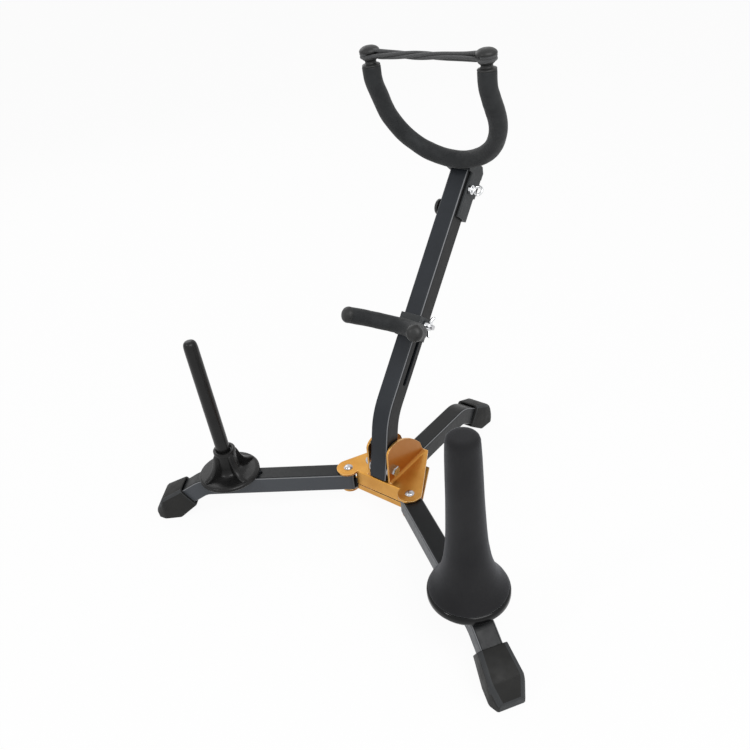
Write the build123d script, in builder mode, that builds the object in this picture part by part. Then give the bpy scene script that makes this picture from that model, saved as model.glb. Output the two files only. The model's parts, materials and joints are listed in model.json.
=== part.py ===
"""Folding saxophone stand with two side pegs: a three-legged hub, a cranked mast, a padded
upper yoke with an elastic strap, a padded lower cradle, a thin peg and a flared cone peg.

Millimetres. +Z is up, +Y is to the back (the mast leans that way over the back leg) and the
floor is Z = 0. The origin is the centre of the footprint on the floor.
"""
from math import cos, radians, sin, tan
import os

from build123d import *

os.makedirs("parts", exist_ok=True)

# ---------------------------------------------------------------- driving dimensions
# square tube, shared by the legs and the mast
TUBE = 20.0
TUBE_WALL = 1.5
TUBE_CORNER = 2.2

# general clearances
RUN_GAP = 0.3            # between faces that move past each other
SLIP_GAP = 0.06          # radial clearance of a pin in its hole
SEAT_GAP = 0.05          # between a soft sleeve and the rod inside it

# legs
FRONT_SPREAD = 56.0      # angle of a front leg from straight forward
LEG_PIVOT_X = 39.5       # front leg rivets, either side of the middle
LEG_MID_Z = 36.5         # height of the straight part of the legs
LEG_KINK = 158.0         # rivet to the downward bend
LEG_KINK_R = 26.0
LEG_DROP = 31.0          # slope of the last stretch
LEG_TAIL = 46.0          # length of tube past the bend, along the slope
BACK_SET = -6.0          # the back leg's own zero, ahead of the rivet line
BACK_START = 7.0         # the back tube begins this far behind the rivet line
LEG_FOLD = 124.0         # a front leg folds from its spread to beside the back leg

# rubber shoes
SHOE_WALL = 3.0
SHOE_START = 19.0        # from the bend to the sleeve's mouth, on the tube's middle line
SHOE_HEEL_ON = 11.5      # from the mouth to the back of the sole
SHOE_PAST = 19.0         # from the end of the tube to the nose
SHOE_NOSE_Z = 9.0
SHOE_BROW_BACK = 9.5     # from the nose back to the top of its steep front
SHOE_BROW_Z = 25.0
SHOE_SOLE_BACK = 3.5     # from the nose back to the front of the sole
SHOE_WIDE_BACK = 11.0    # from the nose back to the widest place
SHOE_BASE = 32.0         # width at the widest place
SHOE_TOE = 23.0          # width at the nose
SHOE_ROUND = 2.0

# hub shells, pressed sheet
SHEET = 2.0
LOBE_R = 12.2            # round lobes over the front rivets
LOW_LOBE_R = 9.0         # the lower shell's lobes hide under the tubes
HUB_REAR = 66.0          # back edge of the hub behind the rivet line
HUB_REAR_HALF = 17.5
HUB_SPLIT_Z = 31.5       # where the two shells' front walls meet
HUB_SEAM = 1.4
WASHER_T = 0.6
WASHER_R = 8.5
SLEEVE_R = 4.0
RIVET_R = 2.5
RIVET_HEAD_R = 4.7
RIVET_HEAD_H = 2.3
BACK_RIVETS = (27.0, 52.0)

# ears that hold the mast
EAR_IN = 11.5
EAR_SET = 2.0            # front edge of the ears behind the front wall
# crown of the ears: distance behind their front edge, height
EAR_CROWN = [(1.5, 84.0), (5.5, 88.6), (13.5, 90.6), (26.0, 88.0), (43.0, 77.8), (56.0, 64.2)]
EAR_TAIL = 6.0           # height left at the back end
EAR_BEND_R = 3.2         # rounding where the ears rise from the plate

# mast
MAST_PIVOT_Y = 11.0      # behind the rivet line
MAST_PIVOT_Z = 60.3
MAST_FOOT = 10.0         # tube below the pivot
MAST_LOW = 58.2          # pivot to the crank
MAST_BEND_R = 62.0
MAST_LEAN_LOW = 11.9
MAST_LEAN = 39.3
MAST_TOP = 262.0         # crank to the top end
MAST_FOLD = 52.0         # folds back until the upper mast lies level
PIVOT_R = 3.0
PIVOT_HEAD = 10.0        # across flats
PIVOT_HEAD_H = 4.0
PIVOT_CHAMFER = 0.6
PIVOT_LOCK = 2.0         # round locking collar on the nut
PIVOT_TAIL = 3.6         # bolt past the nut's flats
PIVOT_WASHER_R = 9.0
BUSH_R = 6.0
CAP_T = 2.5
CAP_ROUND = 0.8
CAP_PLUG = 8.0

# sliding carriages on the mast, measured along it from the crank
SLOT_W = 5.6
CLAMP_R = 2.5
BRIDGE_T = 1.5
CHEEK_T = 2.6
YOKE_AT = 258.0          # middle of the yoke's bridge
YOKE_TRAVEL = 80.0
YOKE_SCREW_AT = 236.5
YOKE_BUTTON_AT = 215.0
YOKE_TAIL_AT = 207.0     # lower end of the yoke's carriage
YOKE_STEP_AT = 232.0
CRADLE_AT = 88.0
CRADLE_BOLT_AT = 96.0
CRADLE_TRAVEL = 60.0
CRADLE_LOW_AT = 80.0
CRADLE_HIGH_AT = 103.0
BUTTON_R = 8.0
BUTTON_T = 3.2
BUTTON_ROUND = 1.2
WEB_T = 5.4              # back web behind the screw
YOKE_BRIDGE = 12.0       # height of the yoke's bridge
CARRIAGE_LIP = 5.0       # the cheeks reach this far in front of the mast's middle
CARRIAGE_CORNER = 1.2
CARRIAGE_CUT = 5.0       # slanting cut across the web's upper back edge

# padded rods
ROD_R = 4.0
LUG = 6.0                # square lug that joins a rod to its bridge
YOKE_PAD_R = 8.4
YOKE_HALF = 60.0         # half width of the yoke, on the rod's middle line
YOKE_RISE = 22.5         # tilt of the yoke up from square to the mast
YOKE_DEPTH = 82.0        # depth at which the arms' ends bend up
YOKE_BEND_R = 30.0
YOKE_TURN = 24.0
YOKE_TIP = 7.5           # straight padding past the bend
CRADLE_PAD_R = 8.0
CRADLE_BEND_R = 34.0
CRADLE_TURN = 68.0
CRADLE_ARM = 18.0
CRADLE_DIP = 9.0         # tilt of the cradle down from square to the mast

# yoke end caps and strap
CAP_FLANGE = 1.6         # flange that seats on the padding's end
CAP_NECK_R = 5.2
CAP_NECK = 4.8           # top of the narrow neck
CAP_COLLAR_R = 7.4
CAP_COLLAR = 8.2         # top of the collar below the strap
CAP_GROOVE_R = 6.0
CAP_GROOVE = 3.6         # height of the groove that the strap lies in
CAP_HEAD_R = 9.3
CAP_HEAD = 5.6
CAP_ROD = 10.0           # the rod reaches this far into each cap
STRAP_R = 1.7            # one strand, where it goes round the groove
STRAP_MID_R = 3.5        # the strands, twisted together
STRAP_END_R = 4.3        # the strands where they part
STRAP_LOOP = 6.0
STRAP_TAPER = 20.0

# yoke thumb screw
SCREW_COLLAR_R = 4.6
SCREW_COLLAR_T = 3.4
SCREW_SHANK = 5.0        # shank past the carriage
SPADE_R = 5.6
SPADE_RING = 2.4
SPADE_T = 2.6

# cradle bracket, its bolt and its wing nut
CRADLE_TIP = 6.5
CRADLE_PLUG = 3.0        # the rod reaches this far into each tip
CRADLE_CHEEK_BACK = 7.5
BOLT_PAST = 3.0          # bolt past the nut's boss
WING_BOSS_R = 5.0
WING_BOSS = 7.0
WING_SPAN = 11.0
WING_T = 2.2
WING_H = 10.0
WING_ROOT = 2.0
WING_CORNER = 3.0

# thin peg
THIN_AT = 128.0          # along the left leg
THIN_R = 7.3
THIN_TIP_R = 7.0
THIN_LONG = 150.8        # length of the post
THIN_COLLAR_R = 11.6
THIN_COLLAR_TOP = 35.0
THIN_DISC_R = 32.0
THIN_DISC_T = 5.0
THIN_RIB_T = 6.5
THIN_RIBS = 4
THIN_RIB_DOWN = 4.0      # the ribs begin this far below the collar's top
THIN_RIB_IN = 2.0        # and end this far inside the disc's edge
THIN_SOCKET = 20.0       # depth of the post's socket in the collar
THIN_LEAN = 2.5          # the post leans outwards along the leg, in degrees

# cone peg
CONE_AT = 138.5          # along the right leg
CONE_TOP = 172.0
CONE_TOP_R = 13.4
CONE_LOW = 15.0          # the cover's lower edge above the leg
CONE_FLARE_R = 33.7
CONE_COVER_T = 1.6
CONE_RIM_R = 35.2
CONE_BODY = [(15.5, 108.0), (18.2, 66.0), (21.6, 44.0), (26.2, 30.5)]    # radius, height
CONE_CROWN = 5.0         # rounding of the top
CONE_RIM_STEP = 8.0      # height of the step round the rim
CONE_STEP_IN = 2.4       # the lower tier stands this far inside the rim
CONE_NECK_R = 9.0
CONE_NECK = 3.2
CONE_STUD_TOP = 30.0

# inserts in the legs and the studs screwed into them
INSERT_R = 4.8
INSERT_FLANGE_R = 6.0
INSERT_FLANGE = 0.6
INSERT_DEPTH = 15.0
PEG_STUD_R = 4.0
STUD_SHORT = 2.0         # the stud ends this far inside its insert
STUD_POINT = 0.8

# spare hole for a peg
SPARE_AT = 96.0
SPARE_R = 3.2

# ---------------------------------------------------------------- places worked out from them
HALF = TUBE / 2
SPREAD = radians(FRONT_SPREAD)
LEG_TOP_Z = LEG_MID_Z + HALF
LEG_LOW_Z = LEG_MID_Z - HALF
PLATE_IN_TOP = LEG_TOP_Z + RUN_GAP + WASHER_T
PLATE_TOP = PLATE_IN_TOP + SHEET
PLATE_IN_LOW = LEG_LOW_Z - RUN_GAP - WASHER_T
PLATE_LOW = PLATE_IN_LOW - SHEET
FRONT_WALL_HALF = LEG_PIVOT_X - HALF - 2 * RUN_GAP
EAR_OUT = EAR_IN + SHEET

# the rivet line's place that centres the footprint on the origin
fall = radians(LEG_DROP)
shoe_nose = LEG_KINK + LEG_TAIL * cos(fall) + SHOE_PAST
nose_front = shoe_nose * cos(SPREAD) + SHOE_TOE / 2 * sin(SPREAD)
nose_back = BACK_SET + shoe_nose
RIVET_Y = (nose_front - nose_back) / 2


def leg_frame(x, y, heading):
    """Frame of a leg on the floor: X runs out along the leg, from its zero."""
    return Plane(origin=(x, RIVET_Y + y, 0), x_dir=(sin(heading), -cos(heading), 0), z_dir=(0, 0, 1))


def upright(frame):
    """Side view of a frame: X runs outwards and Y upwards."""
    return Plane(origin=frame.origin, x_dir=frame.x_dir, z_dir=frame.y_dir * -1)


RIGHT = leg_frame(LEG_PIVOT_X, 0, SPREAD)
LEFT = leg_frame(-LEG_PIVOT_X, 0, -SPREAD)
BACK = leg_frame(0, BACK_SET, radians(180))

# mast frames: X is sideways, Z runs up the mast, Y points to its back
lean_low = radians(MAST_LEAN_LOW)
lean = radians(MAST_LEAN)
pivot = Vector(0, RIVET_Y + MAST_PIVOT_Y, MAST_PIVOT_Z)
low_dir = Vector(0, sin(lean_low), cos(lean_low))
up_dir = Vector(0, sin(lean), cos(lean))
crank = pivot + low_dir * MAST_LOW
LOWER = Plane(origin=pivot, x_dir=(1, 0, 0), z_dir=low_dir)
UPPER = Plane(origin=crank, x_dir=(1, 0, 0), z_dir=up_dir)


def across(frame, along):
    """Section plane square to the mast at a distance along it."""
    return Plane(origin=frame.origin + frame.z_dir * along, x_dir=frame.x_dir, z_dir=frame.z_dir)


def sideways(frame, x, back, along):
    """Plane facing +X at a point of the mast frame; its X axis points to the mast's back."""
    here = frame.origin + frame.x_dir * x + frame.y_dir * back + frame.z_dir * along
    return Plane(origin=here, x_dir=frame.y_dir, z_dir=frame.x_dir)


def tube_section(section_plane):
    """Rounded square ring of the tube."""
    with BuildSketch(section_plane) as ring:
        RectangleRounded(TUBE, TUBE, TUBE_CORNER)
        inner = TUBE - 2 * TUBE_WALL
        RectangleRounded(inner, inner, TUBE_CORNER - TUBE_WALL, mode=Mode.SUBTRACT)
    return ring.sketch


# ---------------------------------------------------------------- legs
def build_leg(frame, start, rounded, holes):
    """Bent square tube. start is where it begins on the leg's axis; holes lists (x, radius)."""
    side = upright(frame)
    with BuildPart() as leg:
        with BuildLine(side) as path:
            FilletPolyline(
                (start, LEG_MID_Z),
                (LEG_KINK, LEG_MID_Z),
                (LEG_KINK + LEG_TAIL * cos(fall), LEG_MID_Z - LEG_TAIL * sin(fall)),
                radius=LEG_KINK_R,
            )
        first = frame.from_local_coords(Vector(start, 0, LEG_MID_Z))
        add(tube_section(Plane(origin=first, x_dir=frame.y_dir, z_dir=frame.x_dir)))
        sweep(path=path.line)
        if rounded:
            with BuildSketch(Plane(origin=frame.from_local_coords(Vector(0, 0, LEG_MID_Z)),
                                   x_dir=frame.x_dir, z_dir=frame.z_dir)):
                with Locations((-HALF, 0)):
                    Rectangle(TUBE, TUBE + 2)
                Circle(HALF, mode=Mode.SUBTRACT)
            extrude(amount=TUBE, both=True, mode=Mode.SUBTRACT)
        for along, hole_r in holes:
            with Locations(frame.location * Location((along, 0, LEG_MID_Z))):
                Cylinder(hole_r, TUBE + 2, mode=Mode.SUBTRACT)
    return leg.part


def build_peg_leg(frame, name, holes, stud_at):
    """Front leg with the hole of its peg's threaded insert in the top wall only."""
    with BuildPart() as leg:
        add(build_leg(frame, -HALF, True, holes))
        with Locations(frame.location * Location((stud_at, 0, LEG_TOP_Z))):
            Cylinder(INSERT_R + SLIP_GAP, 2 * TUBE_WALL + 2, mode=Mode.SUBTRACT)
    leg.part.label = name
    export_step(leg.part, f"parts/{name}.step")
    return leg.part


pivot_hole = (0, SLEEVE_R + SLIP_GAP)
left_leg = build_peg_leg(LEFT, "left_leg_tube", [pivot_hole, (SPARE_AT, SPARE_R)], THIN_AT)
right_leg = build_peg_leg(RIGHT, "right_leg_tube", [pivot_hole], CONE_AT)

with BuildPart() as back_leg:
    back_holes = [(rivet_y - BACK_SET, SLEEVE_R + SLIP_GAP) for rivet_y in BACK_RIVETS]
    add(build_leg(BACK, BACK_START - BACK_SET, False, back_holes))
back_leg.part.label = "back_leg_tube"
export_step(back_leg.part, "parts/back_leg_tube.step")


# ---------------------------------------------------------------- rubber shoes
def build_shoe(frame, name):
    """Rubber sleeve over the sloping end of a leg, with a flat sole and a steep front."""
    mouth = LEG_KINK + SHOE_START
    mouth_z = LEG_MID_Z - SHOE_START * tan(fall)
    reach = HALF + SHOE_WALL
    brow = shoe_nose - SHOE_BROW_BACK
    widest = shoe_nose - SHOE_WIDE_BACK
    flare = (SHOE_BASE / 2 - reach) / (widest - mouth)
    with BuildPart() as shoe:
        with BuildSketch(upright(frame)):
            Polygon(
                (mouth + reach * sin(fall), mouth_z + reach * cos(fall)),
                (brow, SHOE_BROW_Z),
                (shoe_nose, SHOE_NOSE_Z),
                (shoe_nose - SHOE_SOLE_BACK, 0),
                (mouth + SHOE_HEEL_ON, 0),
                (mouth - reach * sin(fall), mouth_z - reach * cos(fall)),
                align=None,
            )
        extrude(amount=SHOE_BASE / 2, both=True)
        with BuildSketch(frame):
            Polygon(
                (mouth - TUBE, reach - flare * TUBE),
                (widest, SHOE_BASE / 2),
                (shoe_nose, SHOE_TOE / 2),
                (shoe_nose, -SHOE_TOE / 2),
                (widest, -SHOE_BASE / 2),
                (mouth - TUBE, flare * TUBE - reach),
                align=None,
            )
        extrude(amount=LEG_TOP_Z + SHOE_WALL, mode=Mode.INTERSECT)
        # the two long edges of the sloping top are rounded, between the mouth and the brow
        long_edges = shoe.edges().filter_by(lambda e: abs(e.tangent_at(0.5).dot(frame.y_dir)) < 0.6)
        high_edges = long_edges.filter_by(lambda e: min(e.start_point().Z, e.end_point().Z) > SHOE_NOSE_Z)
        fillet(high_edges.group_by(lambda e: e.center().Z)[-1], SHOE_ROUND)
        pocket_dir = (frame.x_dir * cos(fall) + Vector(0, 0, -sin(fall))).normalized()
        bend = frame.from_local_coords(Vector(LEG_KINK, 0, LEG_MID_Z))
        with BuildSketch(Plane(origin=bend, x_dir=frame.y_dir, z_dir=pocket_dir)):
            RectangleRounded(TUBE + 2 * SEAT_GAP, TUBE + 2 * SEAT_GAP, TUBE_CORNER)
        extrude(amount=LEG_TAIL + SEAT_GAP, mode=Mode.SUBTRACT)
    shoe.part.label = name
    export_step(shoe.part, f"parts/{name}.step")
    return shoe.part


left_shoe = build_shoe(LEFT, "left_leg_shoe")
right_shoe = build_shoe(RIGHT, "right_leg_shoe")
back_shoe = build_shoe(BACK, "back_leg_shoe")

# ---------------------------------------------------------------- hub
rivet_points = [
    (-LEG_PIVOT_X, RIVET_Y),
    (LEG_PIVOT_X, RIVET_Y),
    (0, RIVET_Y + BACK_RIVETS[0]),
    (0, RIVET_Y + BACK_RIVETS[1]),
]
front_points = rivet_points[:2]


def hub_outline(z, lobe_r):
    """Plan outline of a shell: two lobes at the front, tapering to the back."""
    with BuildSketch(Plane.XY.offset(z)) as outline:
        with Locations(*front_points):
            Circle(lobe_r)
        with Locations((0, RIVET_Y + HUB_REAR - SHEET)):
            Rectangle(2 * HUB_REAR_HALF, 2 * SHEET)
        make_hull()
        with Locations((0, RIVET_Y - lobe_r)):
            Rectangle(4 * LEG_PIVOT_X, 2 * lobe_r, mode=Mode.SUBTRACT)
        with Locations(*front_points):
            Circle(lobe_r)
    return outline.sketch


with BuildPart() as upper_shell:
    add(hub_outline(PLATE_IN_TOP, LOBE_R))
    extrude(amount=SHEET)
    # front wall, folded down between the legs
    with BuildSketch(Plane.XY.offset(HUB_SPLIT_Z + HUB_SEAM / 2)):
        with Locations((0, RIVET_Y + SHEET / 2)):
            Rectangle(2 * FRONT_WALL_HALF, SHEET)
    extrude(until=Until.NEXT)
    wall_edge = upper_shell.edges().filter_by(Axis.X).group_by(Axis.Z)[-1].sort_by(Axis.Y)[0]
    fillet(wall_edge, SHEET * 0.8)
    # ears
    for ear_x in (-EAR_OUT, EAR_IN):
        with BuildSketch(Plane.YZ.offset(ear_x)):
            with BuildLine():
                front = RIVET_Y + EAR_SET
                back = RIVET_Y + HUB_REAR - SHEET / 2
                crown = [(front + behind, height) for behind, height in EAR_CROWN]
                Polyline((back, PLATE_IN_TOP), (front, PLATE_IN_TOP), (front, PLATE_TOP), crown[0])
                Spline(*crown)
                Polyline(crown[-1], (back - 2 * SHEET, PLATE_TOP + EAR_TAIL), (back, PLATE_IN_TOP))
            make_face()
        extrude(amount=SHEET)
    bend_edges = upper_shell.edges().filter_by(Axis.Y).filter_by(
        lambda e: abs(e.center().Z - PLATE_TOP) < 0.1 and abs(abs(e.center().X) - EAR_OUT) < 0.1
    )
    fillet(bend_edges, EAR_BEND_R)
    with Locations(*[Location((x, y, PLATE_TOP)) for x, y in rivet_points]):
        Hole(RIVET_R + SLIP_GAP, depth=2 * SHEET)
    with Locations(Location((0, RIVET_Y + MAST_PIVOT_Y, MAST_PIVOT_Z), (0, 90, 0))):
        Cylinder(PIVOT_R + SLIP_GAP, 4 * EAR_OUT, mode=Mode.SUBTRACT)
upper_shell.part.label = "hub_upper_shell"
export_step(upper_shell.part, "parts/hub_upper_shell.step")

with BuildPart() as lower_shell:
    add(hub_outline(PLATE_LOW, LOW_LOBE_R))
    extrude(amount=SHEET)
    with BuildSketch(Plane.XY.offset(PLATE_LOW)):
        with Locations((0, RIVET_Y + SHEET / 2)):
            Rectangle(2 * FRONT_WALL_HALF, SHEET)
    extrude(amount=HUB_SPLIT_Z - HUB_SEAM / 2 - PLATE_LOW)
    wall_edge = lower_shell.edges().filter_by(Axis.X).group_by(Axis.Z)[0].sort_by(Axis.Y)[0]
    fillet(wall_edge, SHEET * 0.8)
    with Locations(*[Location((x, y, PLATE_IN_LOW)) for x, y in rivet_points]):
        Hole(RIVET_R + SLIP_GAP, depth=2 * SHEET)
lower_shell.part.label = "hub_lower_shell"
export_step(lower_shell.part, "parts/hub_lower_shell.step")

with BuildPart() as hub_rivets:
    for x, y in rivet_points:
        with BuildSketch(Plane.XZ.offset(-y)):
            with BuildLine():
                top_z = PLATE_TOP + RIVET_HEAD_H
                low_z = PLATE_LOW - RIVET_HEAD_H
                Polyline((x + RIVET_R, top_z), (x, top_z), (x, low_z), (x + RIVET_R, low_z))
                ThreePointArc(
                    (x + RIVET_R, low_z),
                    (x + RIVET_HEAD_R * 0.85, PLATE_LOW - RIVET_HEAD_H * 0.6),
                    (x + RIVET_HEAD_R, PLATE_LOW),
                )
                Polyline(
                    (x + RIVET_HEAD_R, PLATE_LOW),
                    (x + RIVET_R, PLATE_LOW),
                    (x + RIVET_R, PLATE_TOP),
                    (x + RIVET_HEAD_R, PLATE_TOP),
                )
                ThreePointArc(
                    (x + RIVET_HEAD_R, PLATE_TOP),
                    (x + RIVET_HEAD_R * 0.85, PLATE_TOP + RIVET_HEAD_H * 0.6),
                    (x + RIVET_R, top_z),
                )
            make_face()
        revolve(axis=Axis((x, y, 0), (0, 0, 1)))
hub_rivets.part.label = "hub_rivets"
export_step(hub_rivets.part, "parts/hub_rivets.step")

with BuildPart() as hub_sleeves:
    with BuildSketch(Plane.XY.offset(PLATE_IN_LOW)):
        with Locations(*rivet_points):
            Circle(SLEEVE_R)
            Circle(RIVET_R + SLIP_GAP, mode=Mode.SUBTRACT)
    extrude(amount=PLATE_IN_TOP - PLATE_IN_LOW)
hub_sleeves.part.label = "hub_spacer_sleeves"
export_step(hub_sleeves.part, "parts/hub_spacer_sleeves.step")

with BuildPart() as hub_washers:
    for washer_z in (PLATE_IN_LOW, PLATE_IN_TOP - WASHER_T):
        with BuildSketch(Plane.XY.offset(washer_z)):
            with Locations(*rivet_points):
                Circle(WASHER_R)
                Circle(SLEEVE_R + SLIP_GAP, mode=Mode.SUBTRACT)
        extrude(amount=WASHER_T)
hub_washers.part.label = "hub_leg_washers"
export_step(hub_washers.part, "parts/hub_leg_washers.step")

# ---------------------------------------------------------------- mast pivot hardware
PIVOT_FACE = Plane(origin=pivot, x_dir=(0, 1, 0), z_dir=(1, 0, 0))

with BuildPart() as pivot_bolt:
    with BuildSketch(PIVOT_FACE.offset(EAR_OUT)):
        RegularPolygon(PIVOT_HEAD / 2, 6, major_radius=False)
    extrude(amount=PIVOT_HEAD_H)
    chamfer(pivot_bolt.faces().sort_by(Axis.X)[-1].edges(), PIVOT_CHAMFER)
    with BuildSketch(PIVOT_FACE.offset(-EAR_OUT - PIVOT_HEAD_H - PIVOT_TAIL)):
        Circle(PIVOT_R)
    extrude(amount=2 * EAR_OUT + PIVOT_HEAD_H + PIVOT_TAIL)
pivot_bolt.part.label = "mast_pivot_bolt"
export_step(pivot_bolt.part, "parts/mast_pivot_bolt.step")

with BuildPart() as pivot_nut:
    with BuildSketch(PIVOT_FACE.offset(-EAR_OUT - PIVOT_HEAD_H)):
        RegularPolygon(PIVOT_HEAD / 2, 6, major_radius=False)
    extrude(amount=PIVOT_HEAD_H)
    with BuildSketch(PIVOT_FACE.offset(-EAR_OUT - PIVOT_HEAD_H - PIVOT_LOCK)):
        Circle(PIVOT_HEAD * 0.45)
    extrude(amount=PIVOT_LOCK)
    with BuildSketch(PIVOT_FACE.offset(-EAR_OUT - PIVOT_HEAD_H * 2)):
        Circle(PIVOT_R + SLIP_GAP)
    extrude(amount=PIVOT_HEAD_H * 2, mode=Mode.SUBTRACT)
pivot_nut.part.label = "mast_pivot_nut"
export_step(pivot_nut.part, "parts/mast_pivot_nut.step")

with BuildPart() as pivot_washers:
    for side_x in (-EAR_IN, HALF + RUN_GAP):
        with BuildSketch(PIVOT_FACE.offset(side_x)):
            Circle(PIVOT_WASHER_R)
            Circle(PIVOT_R + SLIP_GAP, mode=Mode.SUBTRACT)
        extrude(amount=EAR_IN - HALF - RUN_GAP)
pivot_washers.part.label = "mast_pivot_washers"
export_step(pivot_washers.part, "parts/mast_pivot_washers.step")

# ---------------------------------------------------------------- mast
with BuildPart() as mast:
    foot = pivot - low_dir * MAST_FOOT
    top = crank + up_dir * MAST_TOP
    with BuildLine(Plane.YZ) as mast_path:
        FilletPolyline((foot.Y, foot.Z), (crank.Y, crank.Z), (top.Y, top.Z), radius=MAST_BEND_R)
    add(tube_section(across(LOWER, -MAST_FOOT)))
    sweep(path=mast_path.line)
    # the back corner of the foot is rounded, so that it clears the hub as the mast folds
    with BuildSketch(sideways(LOWER, 0, 0, 0)):
        with Locations((HALF, -HALF)):
            Rectangle(TUBE, TUBE)
        Circle(HALF, mode=Mode.SUBTRACT)
    extrude(amount=TUBE, both=True, mode=Mode.SUBTRACT)
    with Locations(Location(pivot, (0, 90, 0))):
        Cylinder(PIVOT_R + SLIP_GAP, 2 * TUBE, mode=Mode.SUBTRACT)
    # slot through both sides for the cradle's clamp bolt
    slot_r = SLOT_W / 2
    cradle_slot = CRADLE_TRAVEL + SLOT_W + 2 * RUN_GAP
    with BuildSketch(sideways(UPPER, 0, 0, CRADLE_BOLT_AT - CRADLE_TRAVEL / 2)):
        SlotOverall(cradle_slot, SLOT_W, rotation=90)
    extrude(amount=TUBE, both=True, mode=Mode.SUBTRACT)
    # slot in the far side for the yoke's guide button
    yoke_slot = YOKE_TRAVEL + SLOT_W + 2 * RUN_GAP
    with BuildSketch(sideways(UPPER, 0, 0, YOKE_BUTTON_AT - YOKE_TRAVEL / 2)):
        SlotOverall(yoke_slot, SLOT_W, rotation=90)
    extrude(amount=-TUBE, mode=Mode.SUBTRACT)
mast.part.label = "mast_tube"
export_step(mast.part, "parts/mast_tube.step")

with BuildPart() as mast_bush:
    with BuildSketch(PIVOT_FACE.offset(-HALF + TUBE_WALL)):
        Circle(BUSH_R)
        Circle(PIVOT_R + SLIP_GAP, mode=Mode.SUBTRACT)
    extrude(amount=TUBE - 2 * TUBE_WALL)
mast_bush.part.label = "mast_pivot_bush"
export_step(mast_bush.part, "parts/mast_pivot_bush.step")

with BuildPart() as mast_cap:
    with BuildSketch(across(UPPER, MAST_TOP)):
        RectangleRounded(TUBE, TUBE, TUBE_CORNER)
    extrude(amount=CAP_T)
    fillet(mast_cap.faces().sort_by(Axis(crank, up_dir))[-1].edges(), CAP_ROUND)
    plug = TUBE - 2 * TUBE_WALL - 2 * SEAT_GAP
    with BuildSketch(across(UPPER, MAST_TOP)):
        RectangleRounded(plug, plug, TUBE_CORNER - TUBE_WALL)
    extrude(amount=-CAP_PLUG)
mast_cap.part.label = "mast_top_cap"
export_step(mast_cap.part, "parts/mast_top_cap.step")

# ---------------------------------------------------------------- yoke
yoke_root = across(UPPER, YOKE_AT).origin - UPPER.y_dir * (HALF + RUN_GAP + BRIDGE_T + YOKE_PAD_R)
rise = radians(YOKE_RISE)
yoke_out = (UPPER.y_dir * -cos(rise) + UPPER.z_dir * sin(rise)).normalized()
# in the yoke's plane X is sideways and Y runs out along the arms
YOKE = Plane(origin=yoke_root, x_dir=(1, 0, 0), z_dir=Vector(1, 0, 0).cross(yoke_out))


# the arms' ends bend up out of the yoke's plane
yoke_turn = radians(YOKE_TURN)
yoke_end = (yoke_out * cos(yoke_turn) - YOKE.z_dir * sin(yoke_turn)).normalized()


def yoke_bend(side_x, share):
    """Point on an arm's middle line at a share of the way round its end bend."""
    part_turn = yoke_turn * share
    depth = YOKE_DEPTH + YOKE_BEND_R * sin(part_turn)
    return YOKE.from_local_coords(Vector(side_x, depth, -YOKE_BEND_R * (1 - cos(part_turn))))


def yoke_tip(side_x, past):
    """Plane square to the front at a length past the bend; its Y axis runs out along the arm."""
    here = yoke_bend(side_x, 1) + yoke_end * past
    return Plane(origin=here, x_dir=(1, 0, 0), z_dir=Vector(1, 0, 0).cross(yoke_end))


def yoke_section(past):
    """Section plane at the left arm's end, looking back along the arm."""
    return Plane(origin=yoke_tip(-YOKE_HALF, past).origin, x_dir=(1, 0, 0), z_dir=yoke_end * -1)


def yoke_line(past):
    """Middle line of the yoke's rod between two ends at a length past their bends."""
    with BuildLine() as line:
        for side_x in (-YOKE_HALF, YOKE_HALF):
            bend = ThreePointArc(yoke_bend(side_x, 0), yoke_bend(side_x, 0.5), yoke_bend(side_x, 1))
            Line(bend @ 1, yoke_tip(side_x, past).origin)
            Line(YOKE.from_local_coords(Vector(side_x, YOKE_HALF, 0)), bend @ 0)
        ThreePointArc(
            YOKE.from_local_coords(Vector(-YOKE_HALF, YOKE_HALF, 0)),
            yoke_root,
            YOKE.from_local_coords(Vector(YOKE_HALF, YOKE_HALF, 0)),
        )
    return line.wires()[0]


rod_end = YOKE_TIP + CAP_ROD
with BuildPart() as yoke_rod:
    with BuildSketch(yoke_section(rod_end)):
        Circle(ROD_R)
    sweep(path=yoke_line(rod_end))
    # welded lug that seats on the carriage's bridge
    with BuildSketch(across(UPPER, YOKE_AT).offset(-LUG / 2)):
        with Locations((0, -(HALF + RUN_GAP + BRIDGE_T + YOKE_PAD_R / 2))):
            Rectangle(LUG, YOKE_PAD_R)
    extrude(amount=LUG)
yoke_rod.part.label = "yoke_rod"
export_step(yoke_rod.part, "parts/yoke_rod.step")

with BuildPart() as yoke_pad:
    with BuildSketch(yoke_section(YOKE_TIP)):
        Circle(YOKE_PAD_R)
        Circle(ROD_R + SEAT_GAP, mode=Mode.SUBTRACT)
    sweep(path=yoke_line(YOKE_TIP))
    with BuildSketch(across(UPPER, YOKE_AT).offset(-LUG / 2 - SEAT_GAP)):
        with Locations((0, -(HALF + RUN_GAP + BRIDGE_T + YOKE_PAD_R / 2))):
            Rectangle(LUG + 2 * SEAT_GAP, YOKE_PAD_R)
    extrude(amount=LUG + 2 * SEAT_GAP, mode=Mode.SUBTRACT)
yoke_pad.part.label = "yoke_foam_sleeve"
export_step(yoke_pad.part, "parts/yoke_foam_sleeve.step")


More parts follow.
